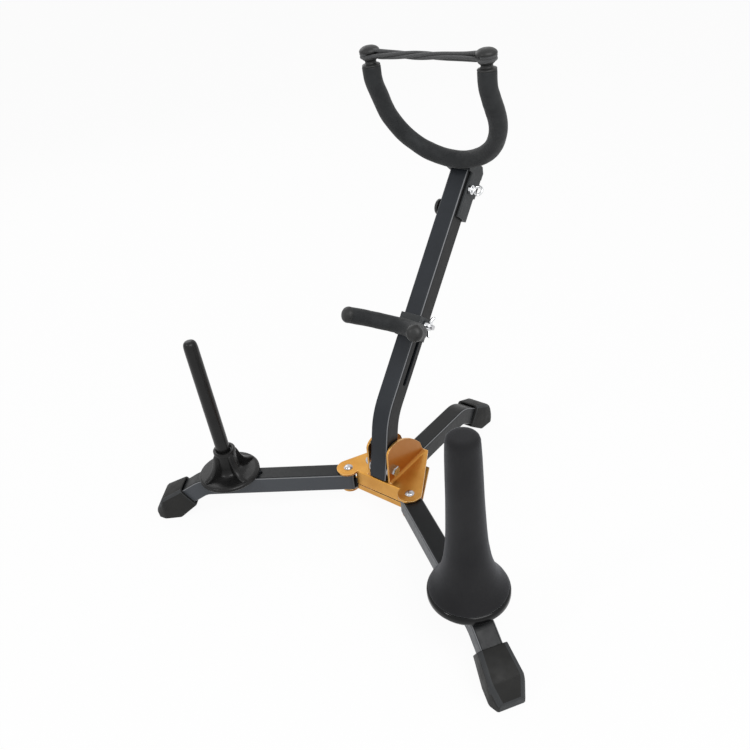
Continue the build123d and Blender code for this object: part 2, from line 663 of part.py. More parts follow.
def build_yoke_cap(side_x, name):
    """Rubber button on the rod's end, with a groove that the strap is hooked round."""
    seat = yoke_tip(side_x, YOKE_TIP)
    low = CAP_COLLAR + CAP_GROOVE
    head = low + CAP_HEAD
    with BuildPart() as cap:
        with BuildSketch(seat):
            with BuildLine():
                Polyline(
                    (CAP_HEAD_R * 0.3, head),
                    (0, head),
                    (0, 0),
                    (YOKE_PAD_R, 0),
                    (YOKE_PAD_R, CAP_FLANGE),
                    (CAP_NECK_R, CAP_FLANGE + 1.0),
                    (CAP_NECK_R, CAP_NECK),
                    (CAP_COLLAR_R, (CAP_NECK + CAP_COLLAR) / 2),
                    (CAP_COLLAR_R, CAP_COLLAR),
                    (CAP_GROOVE_R, CAP_COLLAR),
                    (CAP_GROOVE_R, low),
                    (CAP_HEAD_R * 0.93, low),
                )
                ThreePointArc(
                    (CAP_HEAD_R * 0.93, low),
                    (CAP_HEAD_R, low + CAP_HEAD * 0.22),
                    (CAP_HEAD_R * 0.86, low + CAP_HEAD * 0.54),
                )
                ThreePointArc(
                    (CAP_HEAD_R * 0.86, low + CAP_HEAD * 0.54),
                    (CAP_HEAD_R * 0.62, low + CAP_HEAD * 0.84),
                    (CAP_HEAD_R * 0.3, head),
                )
            make_face()
        revolve(axis=Axis(seat.origin, yoke_end))
        with BuildSketch(Plane(origin=seat.origin, x_dir=(1, 0, 0), z_dir=yoke_end)):
            Circle(ROD_R + SEAT_GAP)
        extrude(amount=CAP_ROD + SEAT_GAP, mode=Mode.SUBTRACT)
    cap.part.label = name
    export_step(cap.part, f"parts/{name}.step")
    return cap.part


yoke_cap_left = build_yoke_cap(-YOKE_HALF, "yoke_cap_left")
yoke_cap_right = build_yoke_cap(YOKE_HALF, "yoke_cap_right")

# elastic strap: an eye round each cap's groove and the strands drawn together between them
eye_r = CAP_GROOVE_R + STRAP_R + SEAT_GAP
strap_at = YOKE_TIP + CAP_COLLAR + CAP_GROOVE / 2
with BuildPart() as strap:
    for side_x in (-YOKE_HALF, YOKE_HALF):
        eye = yoke_tip(side_x, strap_at)
        with BuildSketch(eye):
            with Locations((eye_r, 0)):
                Circle(STRAP_R)
        revolve(axis=Axis(eye.origin, yoke_end))
    bar_end = YOKE_HALF - eye_r
    middle = yoke_tip(0, strap_at)
    with BuildSketch(middle):
        with BuildLine():
            Polyline(
                (-bar_end, 0),
                (-bar_end, STRAP_R * 0.7),
                (-bar_end + STRAP_LOOP, STRAP_END_R),
                (-bar_end + STRAP_TAPER, STRAP_MID_R),
                (bar_end - STRAP_TAPER, STRAP_MID_R),
                (bar_end - STRAP_LOOP, STRAP_END_R),
                (bar_end, STRAP_R * 0.7),
                (bar_end, 0),
                close=True,
            )
        make_face()
    revolve(axis=Axis(middle.origin, (1, 0, 0)))
strap.part.label = "yoke_elastic_strap"
export_step(strap.part, "parts/yoke_elastic_strap.step")

# carriage of the yoke: two cheeks and a back web, with a steel-thick bridge across the front
cheek_in = HALF + RUN_GAP
cheek_out = cheek_in + CHEEK_T
web_out = cheek_in + WEB_T
bridge_low = YOKE_AT - YOKE_BRIDGE / 2
with BuildPart() as yoke_carriage:
    with BuildSketch(across(UPPER, YOKE_TAIL_AT)):
        with Locations((0, (cheek_out - CARRIAGE_LIP) / 2)):
            RectangleRounded(2 * cheek_out, cheek_out + CARRIAGE_LIP, CARRIAGE_CORNER)
    extrude(amount=YOKE_STEP_AT - YOKE_TAIL_AT)
    with BuildSketch(across(UPPER, YOKE_STEP_AT)):
        with Locations((0, (web_out - CARRIAGE_LIP) / 2)):
            RectangleRounded(2 * cheek_out, web_out + CARRIAGE_LIP, CARRIAGE_CORNER)
    extrude(amount=bridge_low - YOKE_STEP_AT)
    with BuildSketch(across(UPPER, bridge_low)):
        with Locations((0, (web_out - HALF - RUN_GAP - BRIDGE_T) / 2)):
            Rectangle(2 * cheek_out, web_out + HALF + RUN_GAP + BRIDGE_T)
    extrude(amount=YOKE_BRIDGE)
    cross_edges = yoke_carriage.edges().filter_by(Axis.X)
    chamfer(cross_edges.sort_by(lambda e: e.center().dot(UPPER.z_dir + UPPER.y_dir))[-1], CARRIAGE_CUT)
    with BuildSketch(across(UPPER, YOKE_TAIL_AT - 1)):
        Rectangle(2 * cheek_in, 2 * cheek_in)
        with Locations((0, -HALF)):
            Rectangle(2 * cheek_in, TUBE - 2 * RUN_GAP)
    extrude(amount=bridge_low - YOKE_TAIL_AT + 1, mode=Mode.SUBTRACT)
    with BuildSketch(across(UPPER, bridge_low - 1)):
        Rectangle(2 * cheek_in, 2 * cheek_in)
    extrude(amount=YOKE_BRIDGE + 2, mode=Mode.SUBTRACT)
    with BuildSketch(sideways(UPPER, 0, 0, YOKE_SCREW_AT)):
        Circle(CLAMP_R + SLIP_GAP)
    extrude(amount=TUBE, mode=Mode.SUBTRACT)
    with BuildSketch(sideways(UPPER, 0, 0, YOKE_BUTTON_AT)):
        Circle(CLAMP_R + SLIP_GAP)
    extrude(amount=-TUBE, mode=Mode.SUBTRACT)
yoke_carriage.part.label = "yoke_carriage"
export_step(yoke_carriage.part, "parts/yoke_carriage.step")

with BuildPart() as yoke_button:
    with BuildSketch(sideways(UPPER, -cheek_out, 0, YOKE_BUTTON_AT)):
        Circle(BUTTON_R)
    extrude(amount=-BUTTON_T)
    fillet(yoke_button.faces().sort_by(Axis.X)[0].edges(), BUTTON_ROUND)
    with BuildSketch(sideways(UPPER, -cheek_out, 0, YOKE_BUTTON_AT)):
        Circle(CLAMP_R)
    extrude(amount=cheek_out - HALF + 2 * TUBE_WALL)
yoke_button.part.label = "yoke_guide_button"
export_step(yoke_button.part, "parts/yoke_guide_button.step")

shank_end = cheek_out + SCREW_SHANK
with BuildPart() as yoke_screw:
    with BuildSketch(sideways(UPPER, cheek_in, 0, YOKE_SCREW_AT)):
        Circle(CLAMP_R)
    extrude(amount=shank_end - cheek_in)
    with BuildSketch(sideways(UPPER, cheek_out + RUN_GAP, 0, YOKE_SCREW_AT)):
        Circle(SCREW_COLLAR_R)
    extrude(amount=SCREW_COLLAR_T)
    spade_at = across(UPPER, YOKE_SCREW_AT)
    spade_centre = spade_at.origin + UPPER.x_dir * (shank_end + SPADE_R - SPADE_RING / 2)
    with BuildSketch(Plane(origin=spade_centre, x_dir=(1, 0, 0), z_dir=UPPER.y_dir)):
        Circle(SPADE_R)
        Circle(SPADE_R - SPADE_RING, mode=Mode.SUBTRACT)
    extrude(amount=SPADE_T / 2, both=True)
yoke_screw.part.label = "yoke_thumb_screw"
export_step(yoke_screw.part, "parts/yoke_thumb_screw.step")

# ---------------------------------------------------------------- cradle
cradle_reach = HALF + RUN_GAP + BRIDGE_T + CRADLE_PAD_R
cradle_root = across(UPPER, CRADLE_AT).origin - UPPER.y_dir * cradle_reach
dip = radians(CRADLE_DIP)
cradle_out = (UPPER.y_dir * -cos(dip) - UPPER.z_dir * sin(dip)).normalized()
CRADLE = Plane(origin=cradle_root, x_dir=(1, 0, 0), z_dir=Vector(1, 0, 0).cross(cradle_out))
turn = radians(CRADLE_TURN)
bend_x = CRADLE_BEND_R * sin(turn)
bend_y = CRADLE_BEND_R * (1 - cos(turn))
half_turn = (CRADLE_BEND_R * sin(turn / 2), CRADLE_BEND_R * (1 - cos(turn / 2)))


def cradle_arm_end(arm):
    """Point on the right arm's middle line at a length past the bend."""
    return (bend_x + arm * cos(turn), bend_y + arm * sin(turn))


def cradle_line(arm):
    """Middle line of the cradle's rod, from the left tip round to the right tip."""
    end_x, end_y = cradle_arm_end(arm)
    with BuildLine(CRADLE) as line:
        Line((-end_x, end_y), (-bend_x, bend_y))
        ThreePointArc((-bend_x, bend_y), (-half_turn[0], half_turn[1]), (0, 0))
        ThreePointArc((0, 0), half_turn, (bend_x, bend_y))
        Line((bend_x, bend_y), (end_x, end_y))
    return line.line


def cradle_start(arm):
    """Section plane at the left tip, looking back along the rod."""
    end_x, end_y = cradle_arm_end(arm)
    here = CRADLE.from_local_coords(Vector(-end_x, end_y, 0))
    along = CRADLE.x_dir * cos(turn) - CRADLE.y_dir * sin(turn)
    return Plane(origin=here, x_dir=CRADLE.z_dir, z_dir=along)


with BuildPart() as cradle_rod:
    with BuildSketch(cradle_start(CRADLE_ARM + CRADLE_PLUG)):
        Circle(ROD_R)
    sweep(path=cradle_line(CRADLE_ARM + CRADLE_PLUG))
    with BuildSketch(across(UPPER, CRADLE_AT).offset(-LUG / 2)):
        with Locations((0, -(HALF + RUN_GAP + BRIDGE_T + CRADLE_PAD_R / 2))):
            Rectangle(LUG, CRADLE_PAD_R)
    extrude(amount=LUG)
cradle_rod.part.label = "cradle_rod"
export_step(cradle_rod.part, "parts/cradle_rod.step")

with BuildPart() as cradle_pad:
    with BuildSketch(cradle_start(CRADLE_ARM)):
        Circle(CRADLE_PAD_R)
        Circle(ROD_R + SEAT_GAP, mode=Mode.SUBTRACT)
    sweep(path=cradle_line(CRADLE_ARM))
    with BuildSketch(across(UPPER, CRADLE_AT).offset(-LUG / 2 - SEAT_GAP)):
        with Locations((0, -(HALF + RUN_GAP + BRIDGE_T + CRADLE_PAD_R / 2))):
            Rectangle(LUG + 2 * SEAT_GAP, CRADLE_PAD_R)
    extrude(amount=LUG + 2 * SEAT_GAP, mode=Mode.SUBTRACT)
    # the sleeve is pressed flat where it meets the bracket
    with BuildSketch(across(UPPER, CRADLE_AT).offset(-2 * CRADLE_PAD_R)):
        with Locations((0, -(HALF + RUN_GAP + BRIDGE_T) / 2)):
            Rectangle(4 * TUBE, HALF + RUN_GAP + BRIDGE_T)
    extrude(amount=4 * CRADLE_PAD_R, mode=Mode.SUBTRACT)
cradle_pad.part.label = "cradle_foam_sleeve"
export_step(cradle_pad.part, "parts/cradle_foam_sleeve.step")


def build_cradle_tip(side, name):
    """Rounded rubber cap on one arm of the cradle."""
    end_x, end_y = cradle_arm_end(CRADLE_ARM)
    seat = CRADLE.from_local_coords(Vector(side * end_x, end_y, 0))
    out = CRADLE.x_dir * (side * cos(turn)) + CRADLE.y_dir * sin(turn)
    with BuildPart() as tip:
        with BuildSketch(Plane(origin=seat, x_dir=CRADLE.z_dir, z_dir=out)):
            Circle(CRADLE_PAD_R)
        extrude(amount=CRADLE_TIP)
        outer = tip.edges().filter_by(GeomType.CIRCLE).sort_by(lambda e: (e.arc_center - seat).dot(out))[-1]
        fillet(outer, CRADLE_TIP * 0.6)
        with BuildSketch(Plane(origin=seat, x_dir=CRADLE.z_dir, z_dir=out)):
            Circle(ROD_R + SEAT_GAP)
        extrude(amount=CRADLE_PLUG + SEAT_GAP, mode=Mode.SUBTRACT)
    tip.part.label = name
    export_step(tip.part, f"parts/{name}.step")
    return tip.part


cradle_tip_left = build_cradle_tip(-1, "cradle_tip_left")
cradle_tip_right = build_cradle_tip(1, "cradle_tip_right")

# folded steel bracket that straddles the mast from the front
cradle_cheek_out = cheek_in + BRIDGE_T
with BuildPart() as cradle_bracket:
    with BuildSketch(across(UPPER, CRADLE_LOW_AT)):
        with Locations((0, (CRADLE_CHEEK_BACK - cradle_cheek_out) / 2)):
            Rectangle(2 * cradle_cheek_out, CRADLE_CHEEK_BACK + cradle_cheek_out)
        with Locations((0, TUBE - cheek_in)):
            Rectangle(2 * cheek_in, 2 * TUBE, mode=Mode.SUBTRACT)
    extrude(amount=CRADLE_HIGH_AT - CRADLE_LOW_AT)
    with BuildSketch(sideways(UPPER, 0, 0, CRADLE_BOLT_AT)):
        Circle(CLAMP_R + SLIP_GAP)
    extrude(amount=2 * TUBE, both=True, mode=Mode.SUBTRACT)
cradle_bracket.part.label = "cradle_bracket"
export_step(cradle_bracket.part, "parts/cradle_bracket.step")

bolt_end = cradle_cheek_out + WING_BOSS + BOLT_PAST
with BuildPart() as cradle_bolt:
    with BuildSketch(sideways(UPPER, -cradle_cheek_out, 0, CRADLE_BOLT_AT)):
        Circle(BUTTON_R)
    extrude(amount=-BUTTON_T)
    fillet(cradle_bolt.faces().sort_by(Axis.X)[0].edges(), BUTTON_ROUND)
    with BuildSketch(sideways(UPPER, -cradle_cheek_out, 0, CRADLE_BOLT_AT)):
        Circle(CLAMP_R)
    extrude(amount=cradle_cheek_out + bolt_end)
cradle_bolt.part.label = "cradle_clamp_bolt"
export_step(cradle_bolt.part, "parts/cradle_clamp_bolt.step")

with BuildPart() as wing_nut:
    nut_face = sideways(UPPER, cradle_cheek_out + RUN_GAP, 0, CRADLE_BOLT_AT)
    with BuildSketch(nut_face):
        Circle(WING_BOSS_R)
    extrude(amount=WING_BOSS)
    nut_centre = nut_face.origin
    with BuildSketch(Plane(origin=nut_centre, x_dir=UPPER.z_dir, z_dir=UPPER.y_dir)):
        for way in (-1, 1):
            Polygon(
                (way * WING_ROOT, WING_T / 2),
                (way * (WING_SPAN - WING_CORNER), WING_BOSS / 2),
                (way * WING_SPAN, WING_H - WING_CORNER / 2),
                (way * (WING_SPAN - WING_CORNER), WING_H),
                (way * WING_BOSS_R * 0.8, WING_BOSS),
                (way * WING_ROOT, WING_BOSS),
                align=None,
            )
    extrude(amount=WING_T / 2, both=True)
    with BuildSketch(nut_face):
        Circle(CLAMP_R + SLIP_GAP)
    extrude(amount=2 * WING_BOSS, mode=Mode.SUBTRACT)
wing_nut.part.label = "cradle_wing_nut"
export_step(wing_nut.part, "parts/cradle_wing_nut.step")


# ---------------------------------------------------------------- pegs
def peg_frame(leg, along, height):
    """Plane square to the leg's top face at a height above it."""
    here = leg.from_local_coords(Vector(along, 0, LEG_TOP_Z + height))
    return Plane(origin=here, x_dir=leg.x_dir, z_dir=(0, 0, 1))


def build_insert(leg, along, name):
    """Threaded insert that is squeezed into the leg's top wall."""
    with BuildPart() as insert:
        with BuildSketch(peg_frame(leg, along, 0)):
            Circle(INSERT_FLANGE_R)
        extrude(amount=INSERT_FLANGE)
        with BuildSketch(peg_frame(leg, along, 0)):
            Circle(INSERT_R)
        extrude(amount=-INSERT_DEPTH)
        with BuildSketch(peg_frame(leg, along, INSERT_FLANGE)):
            Circle(PEG_STUD_R + SLIP_GAP)
        extrude(amount=-2 * INSERT_DEPTH, mode=Mode.SUBTRACT)
    insert.part.label = name
    export_step(insert.part, f"parts/{name}.step")
    return insert.part


thin_insert = build_insert(LEFT, THIN_AT, "thin_peg_insert")
cone_insert = build_insert(RIGHT, CONE_AT, "cone_peg_insert")

thin_foot = INSERT_FLANGE + RUN_GAP
rib_top = THIN_COLLAR_TOP - THIN_RIB_DOWN
thin_stud_top = THIN_COLLAR_TOP - THIN_SOCKET
# bottom of the post's socket, square to the leaning post and clear of the stud below it
thin_lean = radians(THIN_LEAN)
thin_axis = LEFT.x_dir * sin(thin_lean) + Vector(0, 0, cos(thin_lean))
thin_seat_z = thin_stud_top + (THIN_R + SEAT_GAP) * sin(thin_lean)
thin_seat = Plane(origin=peg_frame(LEFT, THIN_AT, thin_seat_z).origin, x_dir=LEFT.y_dir, z_dir=thin_axis)
with BuildPart() as thin_base:
    with BuildSketch(peg_frame(LEFT, THIN_AT, thin_foot)):
        Circle(THIN_DISC_R)
    extrude(amount=THIN_DISC_T)
    fillet(thin_base.faces().sort_by(Axis.Z)[-1].edges(), THIN_DISC_T * 0.5)
    with BuildSketch(peg_frame(LEFT, THIN_AT, thin_foot)):
        Circle(THIN_COLLAR_R)
    extrude(amount=THIN_COLLAR_TOP - thin_foot)
    rib_reach = THIN_DISC_R - THIN_RIB_IN
    for rib in range(THIN_RIBS):
        angle = 45 + rib * 360 / THIN_RIBS
        with BuildSketch(upright(peg_frame(LEFT, THIN_AT, 0).rotated((0, 0, angle)))):
            with BuildLine():
                Polyline(
                    (THIN_COLLAR_R - 1, rib_top),
                    (THIN_COLLAR_R - 1, thin_foot + 1),
                    (rib_reach, thin_foot + 1),
                    (rib_reach, thin_foot + THIN_DISC_T),
                )
                ThreePointArc(
                    (rib_reach, thin_foot + THIN_DISC_T),
                    (THIN_COLLAR_R + 6.2, thin_foot + THIN_DISC_T + 7.5),
                    (THIN_COLLAR_R - 1, rib_top),
                )
            make_face()
        extrude(amount=THIN_RIB_T / 2, both=True)
    with BuildSketch(thin_seat):
        Circle(THIN_R + SEAT_GAP)
    extrude(amount=2 * THIN_SOCKET, mode=Mode.SUBTRACT)
    with BuildSketch(peg_frame(LEFT, THIN_AT, thin_foot)):
        Circle(PEG_STUD_R + SEAT_GAP)
    extrude(amount=THIN_COLLAR_TOP, mode=Mode.SUBTRACT)
thin_base.part.label = "thin_peg_base"
export_step(thin_base.part, "parts/thin_peg_base.step")

with BuildPart() as thin_post:
    with BuildSketch(thin_seat) as low_end:
        Circle(THIN_R)
    with BuildSketch(thin_seat.offset(THIN_LONG)) as high_end:
        Circle(THIN_TIP_R)
    loft(sections=[low_end.sketch, high_end.sketch])
    fillet(thin_post.faces().sort_by(Axis.Z)[-1].edges(), THIN_TIP_R * 0.85)
thin_post.part.label = "thin_peg_post"
export_step(thin_post.part, "parts/thin_peg_post.step")


def build_stud(leg, along, top, name):
    """Threaded stud of a peg, screwed into the leg's insert."""
    with BuildPart() as stud:
        with BuildSketch(peg_frame(leg, along, top)):
            Circle(PEG_STUD_R)
        extrude(amount=-(top + INSERT_DEPTH - STUD_SHORT))
        chamfer(stud.faces().sort_by(Axis.Z)[0].edges(), STUD_POINT)
    stud.part.label = name
    export_step(stud.part, f"parts/{name}.step")
    return stud.part


thin_stud = build_stud(LEFT, THIN_AT, thin_stud_top, "thin_peg_stud")

# flared cone: a flocked cover over a moulded core on a glossy two-step rim
cone_foot = INSERT_FLANGE + RUN_GAP
cone_profile = [(CONE_TOP_R, CONE_TOP), *CONE_BODY, (CONE_FLARE_R, CONE_LOW)]


def cone_face(frame, inset):
    """Half section of the cone from its axis to the flared skin."""
    top_z = CONE_TOP - inset
    points = [(radius - inset, height) for radius, height in cone_profile]
    points[0] = (points[0][0], top_z - CONE_CROWN)
    with BuildSketch(upright(frame)) as face:
        with BuildLine():
            Line((0, CONE_LOW), (0, top_z))
            Line((0, top_z), (points[0][0] - CONE_CROWN, top_z))
            ThreePointArc(
                (points[0][0] - CONE_CROWN, top_z),
                (points[0][0] - CONE_CROWN * 0.3, top_z - CONE_CROWN * 0.3),
                points[0],
            )
            Spline(*points, tangents=[(0.01, -1), (1, -0.35)])
            Line(points[-1], (0, CONE_LOW))
        make_face()
    return face.sketch


cone_axis = Axis(peg_frame(RIGHT, CONE_AT, 0).origin, (0, 0, 1))
with BuildPart() as cone_core:
    add(cone_face(peg_frame(RIGHT, CONE_AT, 0), CONE_COVER_T))
    revolve(axis=cone_axis)
    with BuildSketch(peg_frame(RIGHT, CONE_AT, CONE_LOW)):
        Circle(PEG_STUD_R + SEAT_GAP)
    extrude(amount=CONE_STUD_TOP - CONE_LOW, mode=Mode.SUBTRACT)
cone_core.part.label = "cone_peg_core"
export_step(cone_core.part, "parts/cone_peg_core.step")

with BuildPart() as cone_cover:
    add(cone_face(peg_frame(RIGHT, CONE_AT, 0), 0))
    revolve(axis=cone_axis)
    add(cone_core.part, mode=Mode.SUBTRACT)
    with BuildSketch(peg_frame(RIGHT, CONE_AT, CONE_LOW)):
        Circle(PEG_STUD_R + SEAT_GAP)
    extrude(amount=CONE_STUD_TOP - CONE_LOW, mode=Mode.SUBTRACT)
cone_cover.part.label = "cone_peg_flock_cover"
export_step(cone_cover.part, "parts/cone_peg_flock_cover.step")

with BuildPart() as cone_rim:
    with BuildSketch(upright(peg_frame(RIGHT, CONE_AT, 0))):
        Polygon(
            (PEG_STUD_R + SEAT_GAP, CONE_LOW),
            (CONE_FLARE_R, CONE_LOW),
            (CONE_RIM_R, CONE_LOW - CONE_RIM_R + CONE_FLARE_R),
            (CONE_RIM_R, CONE_RIM_STEP),
            (CONE_RIM_R - CONE_STEP_IN, CONE_RIM_STEP - 0.6),
            (CONE_RIM_R - CONE_STEP_IN, CONE_NECK + 1.6),
            (CONE_RIM_R - CONE_STEP_IN - 1.6, CONE_NECK),
            (CONE_NECK_R, CONE_NECK),
            (CONE_NECK_R, cone_foot),
            (PEG_STUD_R + SEAT_GAP, cone_foot),
            align=None,
        )
    revolve(axis=cone_axis)
cone_rim.part.label = "cone_peg_rim"
export_step(cone_rim.part, "parts/cone_peg_rim.step")

cone_stud = build_stud(RIGHT, CONE_AT, CONE_STUD_TOP, "cone_peg_stud")
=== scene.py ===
import json
from math import cos, exp, pi, radians, sin

import bpy
from mathutils import Matrix, Vector, noise


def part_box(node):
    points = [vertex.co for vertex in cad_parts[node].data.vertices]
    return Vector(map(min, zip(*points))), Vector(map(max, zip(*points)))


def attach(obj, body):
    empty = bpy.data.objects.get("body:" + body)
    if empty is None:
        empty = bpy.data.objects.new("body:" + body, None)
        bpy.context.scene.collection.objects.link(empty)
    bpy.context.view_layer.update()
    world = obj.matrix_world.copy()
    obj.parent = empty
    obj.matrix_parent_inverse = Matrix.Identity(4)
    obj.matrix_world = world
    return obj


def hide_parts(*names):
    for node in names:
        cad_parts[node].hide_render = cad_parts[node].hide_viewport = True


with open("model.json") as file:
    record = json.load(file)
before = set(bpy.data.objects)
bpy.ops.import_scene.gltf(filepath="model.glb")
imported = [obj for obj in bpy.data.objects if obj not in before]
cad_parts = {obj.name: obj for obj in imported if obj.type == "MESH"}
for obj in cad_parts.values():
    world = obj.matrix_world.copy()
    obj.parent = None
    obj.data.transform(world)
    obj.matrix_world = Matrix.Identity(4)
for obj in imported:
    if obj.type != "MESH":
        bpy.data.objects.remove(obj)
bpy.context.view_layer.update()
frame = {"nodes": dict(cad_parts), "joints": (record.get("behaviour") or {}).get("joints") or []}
nodes = frame["nodes"]
joints = {joint["name"]: joint for joint in frame["joints"]}

# ---------------------------------------------------------------------------
# The hub: two pressed steel shells that hold the three legs between them, the upper one with
# two ears that stand either side of the mast. Both are stamped from 2 mm sheet, tumbled and
# lacquered gold, so the colour is a little uneven; the edges carry a painted highlight and the ears
# painted shade.


def new_finish(name):
    """An empty material: its nodes, its links, its shader and the piece's own coordinates."""
    finish = bpy.data.materials.new(name)
    finish.use_nodes = True
    tree = finish.node_tree
    where = tree.nodes.new("ShaderNodeTexCoord").outputs["Object"]
    return finish, tree.nodes, tree.links, tree.nodes["Principled BSDF"], where


def grain(tree, links, where, per_metre, detail):
    """Noise over the surface, from cloudy to fine."""
    clouds = tree.new("ShaderNodeTexNoise")
    clouds.inputs["Scale"].default_value = per_metre
    clouds.inputs["Detail"].default_value = detail
    links.new(where, clouds.inputs["Vector"])
    return clouds.outputs["Fac"]


def worked_out(tree, links, operation, *values):
    """The result of a sum, a product and so on; each value is a number or a socket."""
    node = tree.new("ShaderNodeMath")
    node.operation = operation
    for value, socket in zip(values, node.inputs):
        if isinstance(value, (int, float)):
            socket.default_value = value
        else:
            links.new(value, socket)
    return node.outputs["Value"]


def between(tree, links, value, low, high, start=0.3, end=0.7):
    """A value brought into the range from low to high."""
    remap = tree.new("ShaderNodeMapRange")
    remap.inputs["From Min"].default_value = start
    remap.inputs["From Max"].default_value = end
    remap.inputs["To Min"].default_value = low
    remap.inputs["To Max"].default_value = high
    links.new(value, remap.inputs["Value"])
    return remap.outputs["Result"]


def tones(tree, links, value, dark, light, start=0.3, end=0.7):
    """Two tones of one colour, mixed by a value."""
    ramp = tree.new("ShaderNodeValToRGB")
    ramp.color_ramp.elements[0].position = start
    ramp.color_ramp.elements[1].position = end
    ramp.color_ramp.elements[0].color = (*dark, 1)
    ramp.color_ramp.elements[1].color = (*light, 1)
    links.new(value, ramp.inputs["Fac"])
    return ramp.outputs["Color"]


def relief(tree, links, height, depth_mm, strength, rounding_mm=None, under=None):
    """Bumps of a given depth, over coarser bumps or over edges rounded off as far as the real ones."""
    bump = tree.new("ShaderNodeBump")
    bump.inputs["Strength"].default_value = strength
    bump.inputs["Distance"].default_value = depth_mm / 1000
    links.new(height, bump.inputs["Height"])
    if rounding_mm:
        edge = tree.new("ShaderNodeBevel")
        edge.samples = 6
        edge.inputs["Radius"].default_value = rounding_mm / 1000
        links.new(edge.outputs["Normal"], bump.inputs["Normal"])
    elif under:
        links.new(under, bump.inputs["Normal"])
    return bump.outputs["Normal"]


def edge_glint_mask(tree, links, radius_mm, start, end):
    """How much a spot belongs to a sharp edge, from 0 on the flat to 1 on the edge."""
    rounded = tree.new("ShaderNodeBevel")
    rounded.samples = 6
    rounded.inputs["Radius"].default_value = radius_mm / 1000
    flat = tree.new("ShaderNodeNewGeometry")
    agree = tree.new("ShaderNodeVectorMath")
    agree.operation = "DOT_PRODUCT"
    links.new(rounded.outputs["Normal"], agree.inputs[0])
    links.new(flat.outputs["True Normal"], agree.inputs[1])
    return between(tree, links, agree.outputs["Value"], 1, 0, end, start)


def mixed(tree, links, share, first, second):
    """One colour laid over another where share is high."""
    mix = tree.new("ShaderNodeMix")
    mix.data_type = "RGBA"
    links.new(share, mix.inputs["Factor"])
    for colour, socket in ((first, mix.inputs["A"]), (second, mix.inputs["B"])):
        if isinstance(colour, tuple):
            socket.default_value = (*colour, 1)
        else:
            links.new(colour, socket)
    return mix.outputs["Result"]


def facing(tree, links, direction):
    """How far the surface faces along a direction or against it, from 0 to 1."""
    own = tree.new("ShaderNodeTexCoord")
    lean = tree.new("ShaderNodeVectorMath")
    lean.operation = "DOT_PRODUCT"
    lean.inputs[1].default_value = direction
    links.new(own.outputs["Normal"], lean.inputs[0])
    return worked_out(tree, links, "ABSOLUTE", lean.outputs["Value"])


def surface(tree, links, shader, where, rough, bumps, metallic=0.0, gloss=0.5):
    """Gives a finish its polish and its relief. rough holds the size and detail of the polish's grain
    and its range; bumps those of the relief's grain, its depth, its strength and, where the edges
    under it are rounded, how far."""
    polish = between(tree, links, grain(tree, links, where, *rough[:2]), *rough[2:])
    links.new(polish, shader.inputs["Roughness"])
    normal = relief(tree, links, grain(tree, links, where, *bumps[:2]), *bumps[2:])
    links.new(normal, shader.inputs["Normal"])
    shader.inputs["Metallic"].default_value = metallic
    shader.inputs["Specular IOR Level"].default_value = gloss


def dress(names, finish):
    """Gives a finish to pieces that keep their CAD shape."""
    for name in names:
        nodes[name].data.materials.clear()
        nodes[name].data.materials.append(finish)


gold, tree, links, shader, where = new_finish("gold_lacquer")
clouds = grain(tree, links, where, 55, 4)
lacquer = tones(tree, links, clouds, (0.53, 0.245, 0.040), (0.64, 0.325, 0.068))
# painted shade: the ears, which face sideways, and the bends at their feet are painted darker and
# redder
ear_shade = between(tree, links, facing(tree, links, (1, 0, 0)), 0, 0.88, 0.20, 0.62)
lacquer = mixed(tree, links, ear_shade, lacquer, (0.34, 0.120, 0.016))
# painted highlight: sharp edges are painted a lighter gold
painted_edge_glint = edge_glint_mask(tree, links, 0.7, 0.985, 0.80)
links.new(mixed(tree, links, painted_edge_glint, lacquer, (0.90, 0.66, 0.33)), shader.inputs["Base Color"])
surface(tree, links, shader, where, (160, 3, 0.30, 0.42), (900, 3, 0.05, 0.35, 0.5), metallic=0.92)
shader.inputs["Coat Weight"].default_value = 0.15
shader.inputs["Coat Roughness"].default_value = 0.12
dress(["hub_upper_shell", "hub_lower_shell"], gold)

# ---------------------------------------------------------------------------
# Four rivets hold the shells together, two of them the pins that the front legs swing on. They
# are nickel-plated steel with domed heads, spun over; spacer sleeves and thin washers keep the
# sheets apart, so that a leg turns without pinching.


def bench():
    """Leaves nothing selected, so that an operator acts only on what is modelled next."""
    if bpy.context.object and bpy.context.object.mode != "OBJECT":
        bpy.ops.object.mode_set(mode="OBJECT")
    bpy.ops.object.select_all(action="DESELECT")


def edit_all():
    """Opens the active piece for editing, with all of it selected."""
    bpy.ops.object.mode_set(mode="EDIT")
    bpy.ops.mesh.select_all(action="SELECT")


def face_outward():
    """Selects all of the piece that is being edited and turns its faces outward."""
    bpy.ops.mesh.select_all(action="SELECT")
    bpy.ops.mesh.normals_make_consistent(inside=False)


def turned(name, outline, sides):
    """A turned piece, in millimetres on the bench: a disc is drawn at the outline's first point
    (radius, height), then its edge is pulled up and scaled through all the others and closed."""
    bench()
    radius, height = outline[0]
    bpy.ops.mesh.primitive_circle_add(vertices=sides, radius=radius, location=(0, 0, 0))
    piece = bpy.context.object
    piece.name = name
    edit_all()
    bpy.ops.transform.translate(value=(0, 0, height))
    bpy.ops.mesh.edge_face_add()
    face_outward()
    bpy.ops.mesh.select_all(action="DESELECT")
    bpy.ops.mesh.select_mode(type="EDGE")
    bpy.ops.mesh.select_all(action="SELECT")
    bpy.ops.mesh.region_to_loop()
    for next_radius, next_height in outline[1:]:
        rise = (0, 0, next_height - height)
        bpy.ops.mesh.extrude_edges_move(TRANSFORM_OT_translate={"value": rise})
        grow = next_radius / radius
        bpy.ops.transform.resize(value=(grow, grow, 1), center_override=(0, 0, next_height))
        radius, height = next_radius, next_height
    bpy.ops.mesh.edge_face_add()
    bpy.ops.mesh.select_mode(type="VERT")
    face_outward()
    bpy.ops.object.mode_set(mode="OBJECT")
    return piece


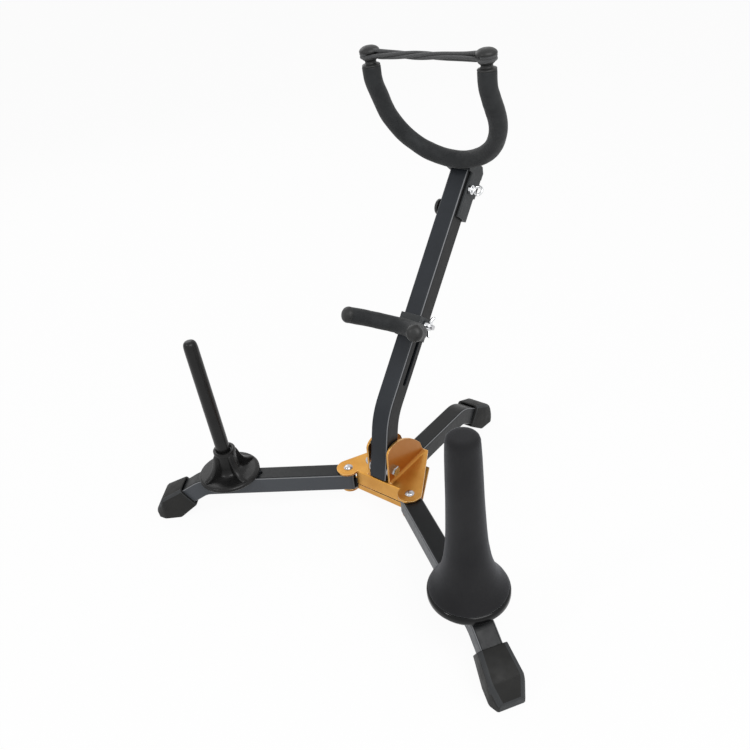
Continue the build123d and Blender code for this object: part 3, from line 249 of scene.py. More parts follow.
def set_down(piece, foot, up, side, smooth):
    """Takes a finished piece from the bench to its place: foot in metres, up and side the directions
    of its own height and width. Its object ends at the origin, unturned and unscaled."""
    bench()
    up = Vector(up).normalized()
    side = Vector(side)
    side = (side - up * side.dot(up)).normalized()
    turn = Matrix((side, up.cross(side), up)).transposed().to_4x4()
    piece.matrix_world = Matrix.Translation(foot) @ turn @ Matrix.Scale(0.001, 4)
    piece.select_set(True)
    bpy.context.view_layer.objects.active = piece
    bpy.ops.object.transform_apply(location=True, rotation=True, scale=True)
    bpy.ops.object.shade_smooth_by_angle(angle=radians(smooth))
    return piece


def join_as(name, pieces):
    """Several parts of one real piece become one object."""
    bench()
    for piece in pieces:
        piece.select_set(True)
    bpy.context.view_layer.objects.active = pieces[0]
    bpy.ops.object.join()
    pieces[0].name = name
    return pieces[0]


def finish_piece(piece, finish, body, slot, *stands_for):
    """Gives a modelled piece its finish, the body that it moves with and the nodes it stands for."""
    piece.data.materials.clear()
    piece.data.materials.append(finish)
    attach(piece, body)
    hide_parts(*stands_for)


def even_finish(name, dark, light, mottling, rough, bumps, **shine):
    """A finish in two close tones, mixed by a grain of the size and detail given as mottling."""
    finish, tree, links, shader, where = new_finish(name)
    colour = tones(tree, links, grain(tree, links, where, *mottling), dark, light)
    links.new(colour, shader.inputs["Base Color"])
    surface(tree, links, shader, where, rough, bumps, **shine)
    return finish


nickel = even_finish("nickel_plate", (0.40, 0.40, 0.41), (0.54, 0.54, 0.56), (300, 3),
                     (300, 3, 0.14, 0.28), (1500, 2, 0.02, 0.3, 0.2), metallic=1.0)

plate_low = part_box("hub_lower_shell")[0].z
washer_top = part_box("hub_leg_washers")[1].z
sheet = 0.002
stack = (washer_top + sheet - plate_low) * 1000    # from the lower sheet's underside to the upper's top
rivet_outline = [(0.9, -2.3), (2.6, -2.05), (3.9, -1.35), (4.5, -0.55), (4.65, -0.05), (2.5, 0.0)]
rivet_outline += [(2.5, stack), (4.65, stack + 0.05), (4.7, stack + 0.35), (4.2, stack + 0.55)]
rivet_outline += [(4.0, stack + 1.0), (3.4, stack + 1.6), (2.4, stack + 2.05), (1.3, stack + 2.25)]
rivet_outline += [(0.5, stack + 2.3)]
left_rivet = Vector(joints["left_leg_fold"]["pos_m"])
right_rivet = Vector(joints["right_leg_fold"]["pos_m"])
rivets = []
back_rivets = (0.027, 0.052)    # behind the front pair, on the middle line
for x, y in (left_rivet.xy, right_rivet.xy, *((0, right_rivet.y + behind) for behind in back_rivets)):
    rivet = turned("rivet", rivet_outline, 40)
    rivets.append(set_down(rivet, (x, y, plate_low), (0, 0, 1), (1, 0, 0), 40))
finish_piece(join_as("domed_rivets", rivets), nickel, "base", "chrome_fastener", "hub_rivets")
dress(["hub_spacer_sleeves", "hub_leg_washers", "mast_pivot_washers"], nickel)

# ---------------------------------------------------------------------------
# Legs: 20 mm square steel tube, bent down at the outer end, drilled for the rivets and pegs, and
# enamelled satin black. Painted light and shade set the tops and sides apart, and a painted highlight
# runs along the long corners.


def enamelled(name, across, top_light_and_shade, side_light_and_shade, ior, gloss):
    """Black enamel on a square tube, with painted light and shade: one tone on top and below,
    another on the sides, and a painted highlight along the long corners. across is level and square to
    the tube."""
    finish, tree, links, shader, where = new_finish(name)
    thick = tuple(0.75 * part for part in top_light_and_shade)
    coat = tones(tree, links, grain(tree, links, where, 30, 3), thick, top_light_and_shade)
    # painted light and shade: faces that look sideways get one tone, the others another
    sideways = facing(tree, links, across)
    painted_side_shade = between(tree, links, sideways, 0, 1, 0.75, 0.98)
    coat = mixed(tree, links, painted_side_shade, coat, side_light_and_shade)
    # painted highlight: a light grey line along the long corners, where the surface faces half sideways
    half_way = worked_out(tree, links, "SUBTRACT", sideways, 0.707)
    off_corner = worked_out(tree, links, "ABSOLUTE", half_way)
    corner = between(tree, links, off_corner, 1, 0, 0.06, 0.22)
    links.new(mixed(tree, links, corner, coat, (0.21, 0.215, 0.225)), shader.inputs["Base Color"])
    surface(tree, links, shader, where, (240, 4, 0.33, 0.45), (700, 2, 0.06, 0.30), gloss=gloss)
    shader.inputs["IOR"].default_value = ior
    return finish


# painted light and shade: the legs' tops are painted darker and their sides lighter
leg_top_painted_shade, leg_side_painted_light = (0.0078, 0.0088, 0.0098), (0.055, 0.060, 0.068)
front_legs = (("left", left_rivet, "thin_peg_turn"), ("right", right_rivet, "cone_peg_turn"))
for side, rivet, peg in front_legs:
    run = Vector(joints[peg]["pos_m"]) - rivet
    across = (run.y / run.xy.length, -run.x / run.xy.length, 0)
    enamel = enamelled(side + "_leg_enamel", across, leg_top_painted_shade, leg_side_painted_light, 1.5, 0.24)
    dress([side + "_leg_tube"], enamel)
# painted light and shade: the back leg's sides are painted lighter, the mast's sides darker than its
# front and back
dress(["back_leg_tube"], enamelled("back_leg_enamel", (1, 0, 0), (0.0080, 0.0085, 0.0088),
                                   (0.016, 0.017, 0.018), 1.35, 0.40))
dress(["mast_tube"], enamelled("mast_enamel", (1, 0, 0), (0.022, 0.0255, 0.031),
                               (0.0075, 0.0075, 0.0078), 1.3, 0.5))

zinc = even_finish("bare_zinc", (0.30, 0.30, 0.31), (0.46, 0.46, 0.47), (400, 3),
                   (700, 3, 0.34, 0.50), (2200, 2, 0.02, 0.4, 0.2), metallic=0.95)
dress(["thin_peg_insert", "cone_peg_insert", "thin_peg_stud", "cone_peg_stud", "yoke_rod", "cradle_rod",
       "mast_pivot_bush"], zinc)

# ---------------------------------------------------------------------------
# Shoes: one moulded rubber boot over the sloping end of each leg, with a flat sole that meets the
# floor, a chamfered toe and a thick mouth. Push fit; all three come from the same mould.

rubber, tree, links, shader, where = new_finish("moulded_rubber")
bloom = grain(tree, links, where, 45, 4)
body_tone = tones(tree, links, bloom, (0.0080, 0.0080, 0.0076), (0.0145, 0.0145, 0.0138))
# painted highlight: faces marked on the shoe's mesh are painted a lighter grey
edge_highlight_node = tree.new("ShaderNodeAttribute")
edge_highlight_node.attribute_name = "painted_edge_highlight"
edge_highlight_tone = mixed(tree, links, edge_highlight_node.outputs["Fac"], body_tone, (0.034, 0.036, 0.038))
links.new(edge_highlight_tone, shader.inputs["Base Color"])
surface(tree, links, shader, where, (130, 3, 0.50, 0.66), (1300, 3, 0.08, 0.35), gloss=0.24)


def cut_off(point, direction):
    """Cuts the selected solid at a plane and throws away what lies beyond it."""
    bpy.ops.mesh.select_all(action="SELECT")
    outward = Vector(direction).normalized()
    bpy.ops.mesh.bisect(plane_co=point, plane_no=outward, use_fill=True, clear_outer=True)


def pick(piece, kind, wanted):
    """Selects the edges or the faces of a piece for which a test on their corners holds."""
    bpy.ops.mesh.select_mode(type=kind)
    bpy.ops.mesh.select_all(action="DESELECT")
    bpy.ops.object.mode_set(mode="OBJECT")
    for part in piece.data.edges if kind == "EDGE" else piece.data.polygons:
        part.select = wanted([piece.data.vertices[v].co for v in part.vertices])
    bpy.ops.object.mode_set(mode="EDIT")


# on the bench X is the distance from the leg's rivet and Z the height above the floor; the leg's
# middle line is 36.5 high as far as its bend at 158, then falls at 31 degrees
shoe_fall = radians(31)
shoe_mouth = Vector((177, 0, 36.5 - (177 - 158) * sin(shoe_fall) / cos(shoe_fall)))
shoe_along = Vector((cos(shoe_fall), 0, -sin(shoe_fall)))
shoe_brow = Vector((206.93, 0, 25))                     # the edge where the upper face turns down
shoe_slope = Vector((11.23, 0, 23.24)).normalized()     # the upper face's direction
shoe_front = Vector((16, 0, 9.5)).normalized()          # the front face's direction
shoe_half_width = 16


def lies_in(corners, point, direction):
    """Whether all corners lie in a plane."""
    return all(abs((corner - point).dot(direction)) < 0.1 for corner in corners)


def long_top_edge(corners):
    """The edges that run from the mouth over the brow to the nose, on both sides."""
    run = (corners[1] - corners[0]).normalized()
    on_top = lies_in(corners, shoe_brow, shoe_slope) or lies_in(corners, shoe_brow, shoe_front)
    return on_top and abs(run.y) < 0.5


def short_edge(corners):
    """All other edges but those of the mouth and the sole."""
    on_sole = max(corner.z for corner in corners) < 0.1
    return not (long_top_edge(corners) or on_sole or lies_in(corners, shoe_mouth, shoe_along))


def shoe_on_bench(name):
    """The boot, out along X: a block, cut and softened."""
    bench()
    block_centre = (195, 0, 20)
    bpy.ops.mesh.primitive_cube_add(size=2, location=block_centre)
    shoe = bpy.context.object
    shoe.name = name
    bpy.ops.object.transform_apply(location=True)
    bpy.ops.object.mode_set(mode="EDIT")
    bpy.ops.transform.resize(value=(40, shoe_half_width, 30), center_override=block_centre)
    cut_off((207, 0, 0), (0, 0, -1))                    # sole
    cut_off((188.5, 0, 0), (-13.94, 0, -18.2))          # heel, up to the mouth
    cut_off(shoe_mouth, -shoe_along)
    cut_off(shoe_brow, shoe_slope)
    cut_off(shoe_brow, shoe_front)
    cut_off((216.43, 0, 8.5), (8.5, 0, -1.2))           # nose, leaning back a little to the floor
    for way in (-1, 1):
        widest = (shoe_brow.x, way * shoe_half_width, 0)
        cut_off(widest, (-0.1002, way, 0))              # side, narrower at the mouth
        cut_off(widest, (4.5, way * 9.5, 0))            # cheek, in to the nose
    bpy.ops.mesh.select_all(action="SELECT")
    bpy.ops.mesh.remove_doubles(threshold=0.05)
    bpy.ops.mesh.normals_make_consistent(inside=False)
    pick(shoe, "EDGE", long_top_edge)
    bpy.ops.transform.edge_bevelweight(value=1.0)
    pick(shoe, "EDGE", short_edge)
    bpy.ops.transform.edge_bevelweight(value=0.4)
    bpy.ops.object.mode_set(mode="OBJECT")
    soft_edges = shoe.modifiers.new("soft_edges", "BEVEL")
    soft_edges.width = 4.0
    soft_edges.segments = 4
    soft_edges.limit_method = "WEIGHT"
    bpy.ops.object.modifier_apply(modifier="soft_edges")
    # the mouth: a thick rounded lip, then 26 mm down into the square pocket
    lip = ((-0.3, 0.985, 0.985), (-0.2, 0.97, 0.98), (-0.1, 0.83, 0.93), (0.5, 0.97, 0.98), (26, 1, 1))
    bpy.ops.object.mode_set(mode="EDIT")
    pick(shoe, "FACE", lambda corners: lies_in(corners, shoe_mouth, shoe_along))
    for deeper, sideways, upward in lip:
        bpy.ops.mesh.extrude_region_move(TRANSFORM_OT_translate={"value": shoe_along * deeper})
        bpy.ops.transform.resize(value=(upward, sideways, upward))
    bpy.ops.object.mode_set(mode="OBJECT")
    # painted highlight: the rounded top edges and the blunt nose are painted a lighter grey
    edge_highlight_layer = shoe.data.attributes.new("painted_edge_highlight", "FLOAT", "FACE")
    for face in shoe.data.polygons:
        on_round = 0.12 < abs(face.normal.y) < 0.97 and face.normal.z > 0.12
        on_nose = face.normal.x > 0.9 and face.center.x > 214
        edge_highlight_layer.data[face.index].value = 1.0 if on_round or on_nose else 0.0
    return shoe


for side, body in (("left", "left_leg"), ("right", "right_leg"), ("back", "base")):
    if side == "back":
        # the back leg is fixed, and its length counts from 6 mm in front of the pivots
        out = Vector((0, 1, 0))
        foot = Vector((0, right_rivet.y - 0.006, 0))
    else:
        rivet = left_rivet if side == "left" else right_rivet
        peg = Vector(joints["thin_peg_turn" if side == "left" else "cone_peg_turn"]["pos_m"])
        out = Vector((peg.x - rivet.x, peg.y - rivet.y, 0)).normalized()
        foot = Vector((rivet.x, rivet.y, 0))
    shoe = set_down(shoe_on_bench(side + "_rubber_shoe"), foot, (0, 0, 1), out, 38)
    finish_piece(shoe, rubber, body, "black_rubber", side + "_leg_shoe")

# ---------------------------------------------------------------------------
# The mast: the same square tube, cranked forward at the foot, standing between the ears on a
# hexagon bolt. A plastic cap closes its top end; the slots for the cradle's bolt and for the yoke's
# guide button are milled.

dress(["mast_pivot_bolt", "mast_pivot_nut"], nickel)

plastic = even_finish("black_plastic", (0.0120, 0.0120, 0.0125), (0.0200, 0.0200, 0.0205), (60, 3),
                      (260, 3, 0.24, 0.40), (900, 2, 0.04, 0.25, 0.4))
dress(["mast_top_cap", "yoke_guide_button"], plastic)

# ---------------------------------------------------------------------------
# The yoke's carriage: a steel channel that hugs the mast from behind and slides on it, powder
# coated with a fine texture. A chrome screw with a flat ring grip bears on the mast through it.

powder, tree, links, shader, where = new_finish("powder_coat")
clouds = grain(tree, links, where, 70, 4)
coat = tones(tree, links, clouds, (0.0190, 0.0215, 0.0230), (0.0300, 0.0330, 0.0350))
# painted highlight: sharp edges are painted light grey
painted_edge_glint = edge_glint_mask(tree, links, 0.5, 0.97, 0.75)
links.new(mixed(tree, links, painted_edge_glint, coat, (0.16, 0.16, 0.165)), shader.inputs["Base Color"])
surface(tree, links, shader, where, (500, 3, 0.42, 0.58), (1800, 2, 0.10, 0.45, 0.35), gloss=0.32)
dress(["yoke_carriage", "cradle_bracket"], powder)

# the upper mast's own directions, up along it and back square to it, and the point that the places
# along it are measured from; both pads seat on a plane in front of its middle line, in millimetres
yoke_along, screw_along, cradle_along, bolt_along = 258, 236.5, 88, 96
pad_seat = -11.8
mast_up = -Vector(joints["yoke_height"]["axis"]).normalized()
mast_back = mast_up.cross(Vector((1, 0, 0)))
mast_start = Vector(joints["yoke_height"]["pos_m"]) - mast_up * (yoke_along / 1000)


def on_mast(right, back, along):
    """A point given in millimetres to the right of the mast's middle line, behind it and along it."""
    return mast_start + (Vector((right, 0, 0)) + mast_back * back + mast_up * along) / 1000


def thread(radius, start, end, pitch=0.8, depth=0.28):
    """Outline of a threaded shank."""
    outline = []
    turns = int((end - start) / pitch)
    for turn in range(turns):
        outline += [(radius - depth, start + turn * pitch), (radius, start + (turn + 0.45) * pitch)]
    return outline + [(radius - depth, end)]


chrome = even_finish("bright_chrome", (0.66, 0.67, 0.68), (0.80, 0.81, 0.82), (220, 3),
                     (220, 3, 0.08, 0.20), (1000, 2, 0.02, 0.2, 0.2), metallic=1.0)

# heights on the bench are distances to the right of the mast's middle line
grip_end = (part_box("yoke_thumb_screw")[1].x - mast_start.x) * 1000
grip_r, grip_wire = 4.25, 1.35
shank_outline = thread(2.5, 10.4, 12.9) + [(2.4, 13.0), (2.4, 17.4), (1.6, 18.2), (0.5, 18.4)]
collar_outline = [(2.2, 13.2), (4.2, 13.2), (4.6, 13.6), (4.6, 16.0), (4.1, 16.5), (2.2, 16.6)]
shank = turned("shank", shank_outline, 28)
collar = turned("collar", collar_outline, 36)
bench()
bpy.ops.mesh.primitive_torus_add(major_radius=grip_r, minor_radius=grip_wire, major_segments=48,
                                 minor_segments=14, location=(0, 0, 0), rotation=(0, 0, 0))
grip = bpy.context.object
edit_all()
bpy.ops.transform.resize(value=(1, 1, 0.92), center_override=(0, 0, 0))
bpy.ops.transform.rotate(value=pi / 2, orient_axis="X", center_override=(0, 0, 0))
bpy.ops.transform.translate(value=(0, 0, grip_end - grip_r - grip_wire))
bpy.ops.object.mode_set(mode="OBJECT")
screw = join_as("eye_screw", [shank, collar, grip])
set_down(screw, on_mast(0, 0, screw_along), (1, 0, 0), mast_up, 30)
finish_piece(screw, chrome, "yoke_screw", "chrome_fastener", "yoke_thumb_screw")

# ---------------------------------------------------------------------------
# The yoke's padding: closed-cell foam tube, 17 mm across, pushed over the bent steel rod. It is cut
# square at both ends, skinned smooth, and a little uneven where it was forced round the bend.

foam, tree, links, shader, where = new_finish("black_foam")
blotches = grain(tree, links, where, 60, 4)
blotched = tones(tree, links, blotches, (0.0120, 0.0132, 0.0142), (0.0215, 0.0232, 0.0245))
links.new(blotched, shader.inputs["Base Color"])
rough = between(tree, links, grain(tree, links, where, 220, 3), 0.58, 0.76)
links.new(rough, shader.inputs["Roughness"])
dents = relief(tree, links, grain(tree, links, where, 190, 2), 0.5, 0.35)
cells = relief(tree, links, grain(tree, links, where, 1900, 3), 0.16, 0.45, under=dents)
links.new(cells, shader.inputs["Normal"])
shader.inputs["Specular IOR Level"].default_value = 0.24
shader.inputs["Sheen Weight"].default_value = 0.08
shader.inputs["Sheen Roughness"].default_value = 0.5


def pull(direction, steps=1):
    """Draws the selected ring out along a direction, in equal steps."""
    for _ in range(steps):
        bpy.ops.mesh.extrude_edges_move(TRANSFORM_OT_translate={"value": Vector(direction) / steps})


def shrink(share, centre):
    """Scales the selected ring about a centre."""
    bpy.ops.transform.resize(value=(share, share, share), center_override=centre)


def cut_end(centre, outward, radius, rim):
    """Finishes the selected end ring of a foam tube: a rim rounded as far as given, then the bore
    that the rod fills, 3 mm deep."""
    rod_r = 4.0
    centre, outward = Vector(centre), Vector(outward).normalized()
    pull(outward * 0.5)
    shrink((radius - 0.3 * rim) / radius, centre + outward * 0.5)
    pull(outward * 0.3)
    shrink((radius - rim) / (radius - 0.3 * rim), centre + outward * 0.8)
    pull(outward * 0.02)
    shrink(rod_r / (radius - rim), centre + outward * 0.82)
    pull(outward * -3)


def select_ring(piece, centre, reach):
    """Selects the open ring of a tube that lies round a point."""
    bpy.ops.mesh.select_all(action="DESELECT")
    bpy.ops.object.mode_set(mode="OBJECT")
    for vertex in piece.data.vertices:
        vertex.select = abs((vertex.co - Vector(centre)).length - reach) < 0.05
    bpy.ops.object.mode_set(mode="EDIT")
    bpy.ops.mesh.select_mode(type="EDGE")


def start_tube(name, radius, centre, turn):
    """Begins a foam tube: an open ring across Y, turned and moved to its place, and selected."""
    bench()
    bpy.ops.mesh.primitive_circle_add(vertices=40, radius=radius, location=(0, 0, 0))
    tube = bpy.context.object
    tube.name = name
    edit_all()
    bpy.ops.transform.rotate(value=pi / 2, orient_axis="X", center_override=(0, 0, 0))
    bpy.ops.object.mode_set(mode="OBJECT")
    tube.rotation_euler = turn
    tube.location = centre
    bpy.ops.object.transform_apply()
    edit_all()
    return tube


def end_tube(tube, radius, rim, last, first, hills):
    """Finishes both ends of a foam tube, each given as its centre and its outward direction, the
    last one being selected; then raises hills and hollows, given as height, size and seed."""
    cut_end(*last, radius, rim)
    select_ring(tube, first[0], radius)
    cut_end(*first, radius, rim)
    bpy.ops.mesh.select_all(action="SELECT")
    bpy.ops.mesh.remove_doubles(threshold=0.02)
    bpy.ops.mesh.normals_make_consistent(inside=False)
    bpy.ops.object.mode_set(mode="OBJECT")
    for height, size, seed in hills:
        for vertex in tube.data.vertices:
            hill = noise.noise(vertex.co / size + Vector((seed, 0, 0)))
            vertex.co += vertex.normal * height * hill


# on the bench X is sideways and Y runs out along the arms, whose ends bend down past a given depth
yoke_pad_r, yoke_half, yoke_turn = 8.4, 60.0, radians(24)
yoke_depth, yoke_bend_r = 82, 30
foam_tip, rod_tip = 6.7, 7.5    # straight foam and straight rod past the bend
tip_dir = Vector((0, cos(yoke_turn), -sin(yoke_turn)))
bend_end = Vector((0, yoke_depth + yoke_bend_r * sin(yoke_turn), -yoke_bend_r * (1 - cos(yoke_turn))))
bend_centre = (0, yoke_depth, -yoke_bend_r)
foam_end = bend_end + tip_dir * foam_tip
left_end, right_end = Vector((-yoke_half, 0, 0)) + foam_end, Vector((yoke_half, 0, 0)) + foam_end
yoke_pad = start_tube("yoke_foam_tube", yoke_pad_r, left_end, (-yoke_turn, 0, 0))
pull(tip_dir * -foam_tip, 3)
bpy.ops.mesh.spin(steps=6, angle=-yoke_turn, center=bend_centre, axis=(1, 0, 0))
pull((0, yoke_half - yoke_depth, 0), 8)
bpy.ops.mesh.spin(steps=56, angle=-pi, center=(0, yoke_half, 0), axis=(0, 0, 1))
pull((0, yoke_depth - yoke_half, 0), 8)
bpy.ops.mesh.spin(steps=6, angle=yoke_turn, center=bend_centre, axis=(1, 0, 0))
pull(tip_dir * foam_tip, 3)
end_tube(yoke_pad, yoke_pad_r, 0.85, (right_end, tip_dir), (left_end, tip_dir),
         ((0.55, 19.0, 3.7), (0.18, 6.0, 9.1)))

yoke_tilt = radians(22.5)
yoke_out = mast_up * sin(yoke_tilt) - mast_back * cos(yoke_tilt)
yoke_face = Vector((1, 0, 0)).cross(yoke_out)
yoke_root = on_mast(0, pad_seat - yoke_pad_r, yoke_along)
set_down(yoke_pad, yoke_root, yoke_face, (1, 0, 0), 60)
finish_piece(yoke_pad, foam, "yoke", "black_foam", "yoke_foam_sleeve")

# ---------------------------------------------------------------------------
# Yoke end buttons: moulded rubber, with a flange against the foam, a neck for the strap and a domed
# head that stops it from slipping off. Pushed on to the rod's ends.

button_rubber = even_finish("button_rubber", (0.0120, 0.0125, 0.0125), (0.0200, 0.0205, 0.0205),
                            (110, 3), (300, 3, 0.36, 0.52), (1500, 3, 0.06, 0.35), gloss=0.34)

button_outline = [(8.1, 0), (8.35, 0.35), (8.35, 1.1), (7.9, 1.6), (6.4, 2.0), (5.5, 2.6), (5.2, 3.3)]
button_outline += [(5.2, 4.4), (5.5, 4.9), (6.6, 5.8), (7.2, 6.4), (7.4, 7.0), (7.3, 7.8), (6.9, 8.15)]
button_outline += [(6.1, 8.3), (6.0, 8.8), (6.0, 11.3), (6.2, 11.7), (8.2, 11.85), (8.9, 12.15)]
button_outline += [(9.25, 12.7), (9.3, 13.2), (9.1, 13.9), (8.5, 14.8), (7.6, 15.6), (6.3, 16.4)]
button_outline += [(4.8, 16.95), (3.0, 17.28), (1.5, 17.38), (0.4, 17.4)]
arm_end_at = bend_end + tip_dir * rod_tip
arm_end_dir = yoke_out * cos(yoke_turn) - yoke_face * sin(yoke_turn)
strap_root = yoke_root + (yoke_out * arm_end_at.y + yoke_face * arm_end_at.z) / 1000
for side, way in (("left", -1), ("right", 1)):
    button = turned("yoke_button_" + side, button_outline, 56)
    seat = strap_root + Vector((way * yoke_half / 1000, 0, 0))
    set_down(button, seat, arm_end_dir, (1, 0, 0), 50)
    finish_piece(button, button_rubber, "yoke", "cap_rubber", "yoke_cap_" + side)

# ---------------------------------------------------------------------------
# The strap: two loops of elastic cord with a braided sleeve, hooked into the grooves of both buttons
# one above the other and twisted in between, so that the four strands lie round each other.

elastic, tree, links, shader, where = new_finish("braided_elastic")
woven = tree.new("ShaderNodeUVMap")
woven.uv_map = "along_cord"
split = tree.new("ShaderNodeSeparateXYZ")
links.new(woven.outputs["UV"], split.inputs["Vector"])


def crossing(way):
    """One set of the sleeve's threads, 8 round the cord and 0.9 a millimetre along it, running
    round it one way or the other."""
    round_cord = worked_out(tree, links, "MULTIPLY", split.outputs["Y"], way * 8.0)
    threads = worked_out(tree, links, "MULTIPLY_ADD", split.outputs["X"], 0.9, round_cord)
    return worked_out(tree, links, "SINE", worked_out(tree, links, "MULTIPLY", threads, 2 * pi))


braid = worked_out(tree, links, "MAXIMUM", crossing(1), crossing(-1))
braid_tone = tones(tree, links, braid, (0.020, 0.021, 0.022), (0.062, 0.064, 0.066), 0.0, 1.0)
links.new(braid_tone, shader.inputs["Base Color"])
shader.inputs["Roughness"].default_value = 0.72
links.new(relief(tree, links, braid, 0.18, 0.8), shader.inputs["Normal"])
shader.inputs["Sheen Weight"].default_value = 0.25

cord_r, packed_r, groove_r, groove_at, half_turns = 1.55, 2.15, 7.65, 10.0, 1
# where the twist starts, over what length, and how far from a button the strands have closed up
twist_from, twist_over, closing = 6, 84, 7.5


def cord_route(lift, quarter):
    """Middle line of one loop: along one strand, round a button's groove, back along the other. The
    loop lies lifted in the grooves, and starts its twist some quarter turns ahead."""
    route = []
    strand_steps, groove_steps = 110, 24
    for strand in (1, -1):
        for step in range(strand_steps + 1):
            x = strand * yoke_half * (2 * (step / strand_steps) - 1)
            near_end = exp((abs(x) - yoke_half) / closing)
            apart = packed_r + (groove_r - packed_r) * near_end
            share = min(max((x + yoke_half - twist_from) / twist_over, 0), 1)
            twist = half_turns * pi * share * share * (3 - 2 * share)
            twist += quarter * pi / 2 * (1 - near_end)
            rise = lift * near_end + strand * apart * sin(twist)
            route.append(Vector((x, groove_at + rise, strand * apart * cos(twist))))
        last = route[-1]
        for step in range(1, groove_steps):
            around = pi * step / groove_steps
            far_x = last.x + strand * groove_r * sin(around)
            route.append(Vector((far_x, last.y, last.z * cos(around))))
    return route


def cord_loop(route):
    """A round cord along a closed line. Its UV map holds the way along it in millimetres and the
    share of the way round it."""
    rows, sides = len(route), 14
    points, faces, along, length = [], [], [], 0.0
    for row, here in enumerate(route):
        ahead = route[(row + 1) % rows]
        run = (ahead - route[row - 1]).normalized()
        across_cord = run.cross(Vector((0, 1, 0))).normalized()
        other = run.cross(across_cord)
        along.append(length)
        length += (ahead - here).length
        for side in range(sides):
            angle = 2 * pi * side / sides
            points.append(here + (across_cord * cos(angle) + other * sin(angle)) * cord_r)
    along.append(length)
    for row in range(rows):
        this_row, next_row = row * sides, (row + 1) % rows * sides
        for side in range(sides):
            beside = (side + 1) % sides
            faces.append((this_row + side, this_row + beside, next_row + beside, next_row + side))
    mesh = bpy.data.meshes.new("cord_loop")
    mesh.from_pydata(points, [], faces)
    uv = mesh.uv_layers.new(name="along_cord")
    for face in mesh.polygons:
        row, side = divmod(face.index, sides)
        start, end = along[row], along[row + 1]
        corners = ((start, side), (start, side + 1), (end, side + 1), (end, side))
        for corner, (u, v) in zip(face.loop_indices, corners):
            uv.data[corner].uv = (u, v / sides)
    loop = bpy.data.objects.new("cord_loop", mesh)
    bpy.context.scene.collection.objects.link(loop)
    return loop


loops = [cord_loop(cord_route(lift, quarter)) for quarter, lift in enumerate((-1.35, 1.35))]
band = join_as("twisted_band", loops)
bench()
bpy.context.view_layer.objects.active = band
band.select_set(True)
bpy.ops.object.mode_set(mode="EDIT")
face_outward()
bpy.ops.object.mode_set(mode="OBJECT")
set_down(band, strap_root, Vector((1, 0, 0)).cross(arm_end_dir), (1, 0, 0), 80)
finish_piece(band, elastic, "yoke", "elastic_cord", "yoke_elastic_strap")

# ---------------------------------------------------------------------------
# The cradle's clamp: a wing nut, cast zinc and chromed, on the bolt that passes through the slot.

# the bolt: its flat head on the far side is capped in black, its end is bright
bolt_finish, tree, links, shader, where = new_finish("capped_bolt")
split = tree.new("ShaderNodeSeparateXYZ")
links.new(where, split.inputs["Vector"])
bare = between(tree, links, split.outputs["X"], 0, 1, 0.010, 0.011)
haze = grain(tree, links, where, 300, 3)
steel = tones(tree, links, haze, (0.52, 0.52, 0.53), (0.68, 0.68, 0.70))
links.new(mixed(tree, links, bare, (0.014, 0.014, 0.0145), steel), shader.inputs["Base Color"])
links.new(bare, shader.inputs["Metallic"])
surface(tree, links, shader, where, (300, 3, 0.22, 0.34), (1500, 2, 0.02, 0.3, 0.2))
dress(["cradle_clamp_bolt"], bolt_finish)

boss_outline = [(2.55, 0), (4.7, 0), (5.0, 0.3), (4.95, 1.6), (4.5, 3.6), (4.2, 5.6), (4.0, 6.5)]
boss_outline += [(3.5, 6.95), (2.55, 7.0)]
boss = turned("boss", boss_outline, 40)


def upright_plate(height, thick, centre):
    """Begins a wing or a fin: an upright face across X, selected, to be drawn out along it."""
    bench()
    bpy.ops.mesh.primitive_plane_add(size=1, location=(0, 0, 0))
    plate = bpy.context.object
    edit_all()
    bpy.ops.transform.resize(value=(height, thick, 1), center_override=(0, 0, 0))
    bpy.ops.transform.rotate(value=pi / 2, orient_axis="Y", center_override=(0, 0, 0))
    bpy.ops.transform.translate(value=centre)
    return plate


# a wing is drawn out of the boss in steps: further out, up, and its height and thickness scaled
wing_steps = ((2.4, 0.3, 1.0, 0.8), (2.6, 1.1, 0.92, 0.9), (1.9, 1.6, 0.85, 1.05),
              (1.2, 0.7, 0.62, 1.0))
wings = []
for way in (0, pi):
    wing = upright_plate(5.6, 2.6, (2.6, 0, 3.9))
    for reach, rise, height, thick in wing_steps:
        bpy.ops.mesh.extrude_region_move(TRANSFORM_OT_translate={"value": (reach, 0, rise)})
        bpy.ops.transform.resize(value=(1, thick, height))
    face_outward()
    bpy.ops.transform.rotate(value=way, orient_axis="Z", center_override=(0, 0, 0))
    bpy.ops.object.mode_set(mode="OBJECT")
    round_off = wing.modifiers.new("round_off", "SUBSURF")
    round_off.levels = round_off.render_levels = 2
    bpy.ops.object.modifier_apply(modifier="round_off")
    wings.append(wing)
nut_seat = 12.1    # the bracket's right cheek
wing_nut = join_as("wing_nut", [boss, *wings])
set_down(wing_nut, on_mast(nut_seat, 0, bolt_along), (1, 0, 0), mast_up, 50)
finish_piece(wing_nut, chrome, "cradle_nut", "chrome_fastener", "cradle_wing_nut")

# ---------------------------------------------------------------------------
# The cradle: foam tube over a bent rod that the bell rests on, flattened where it seats on its
# bracket, with a rounded rubber cap over each end.

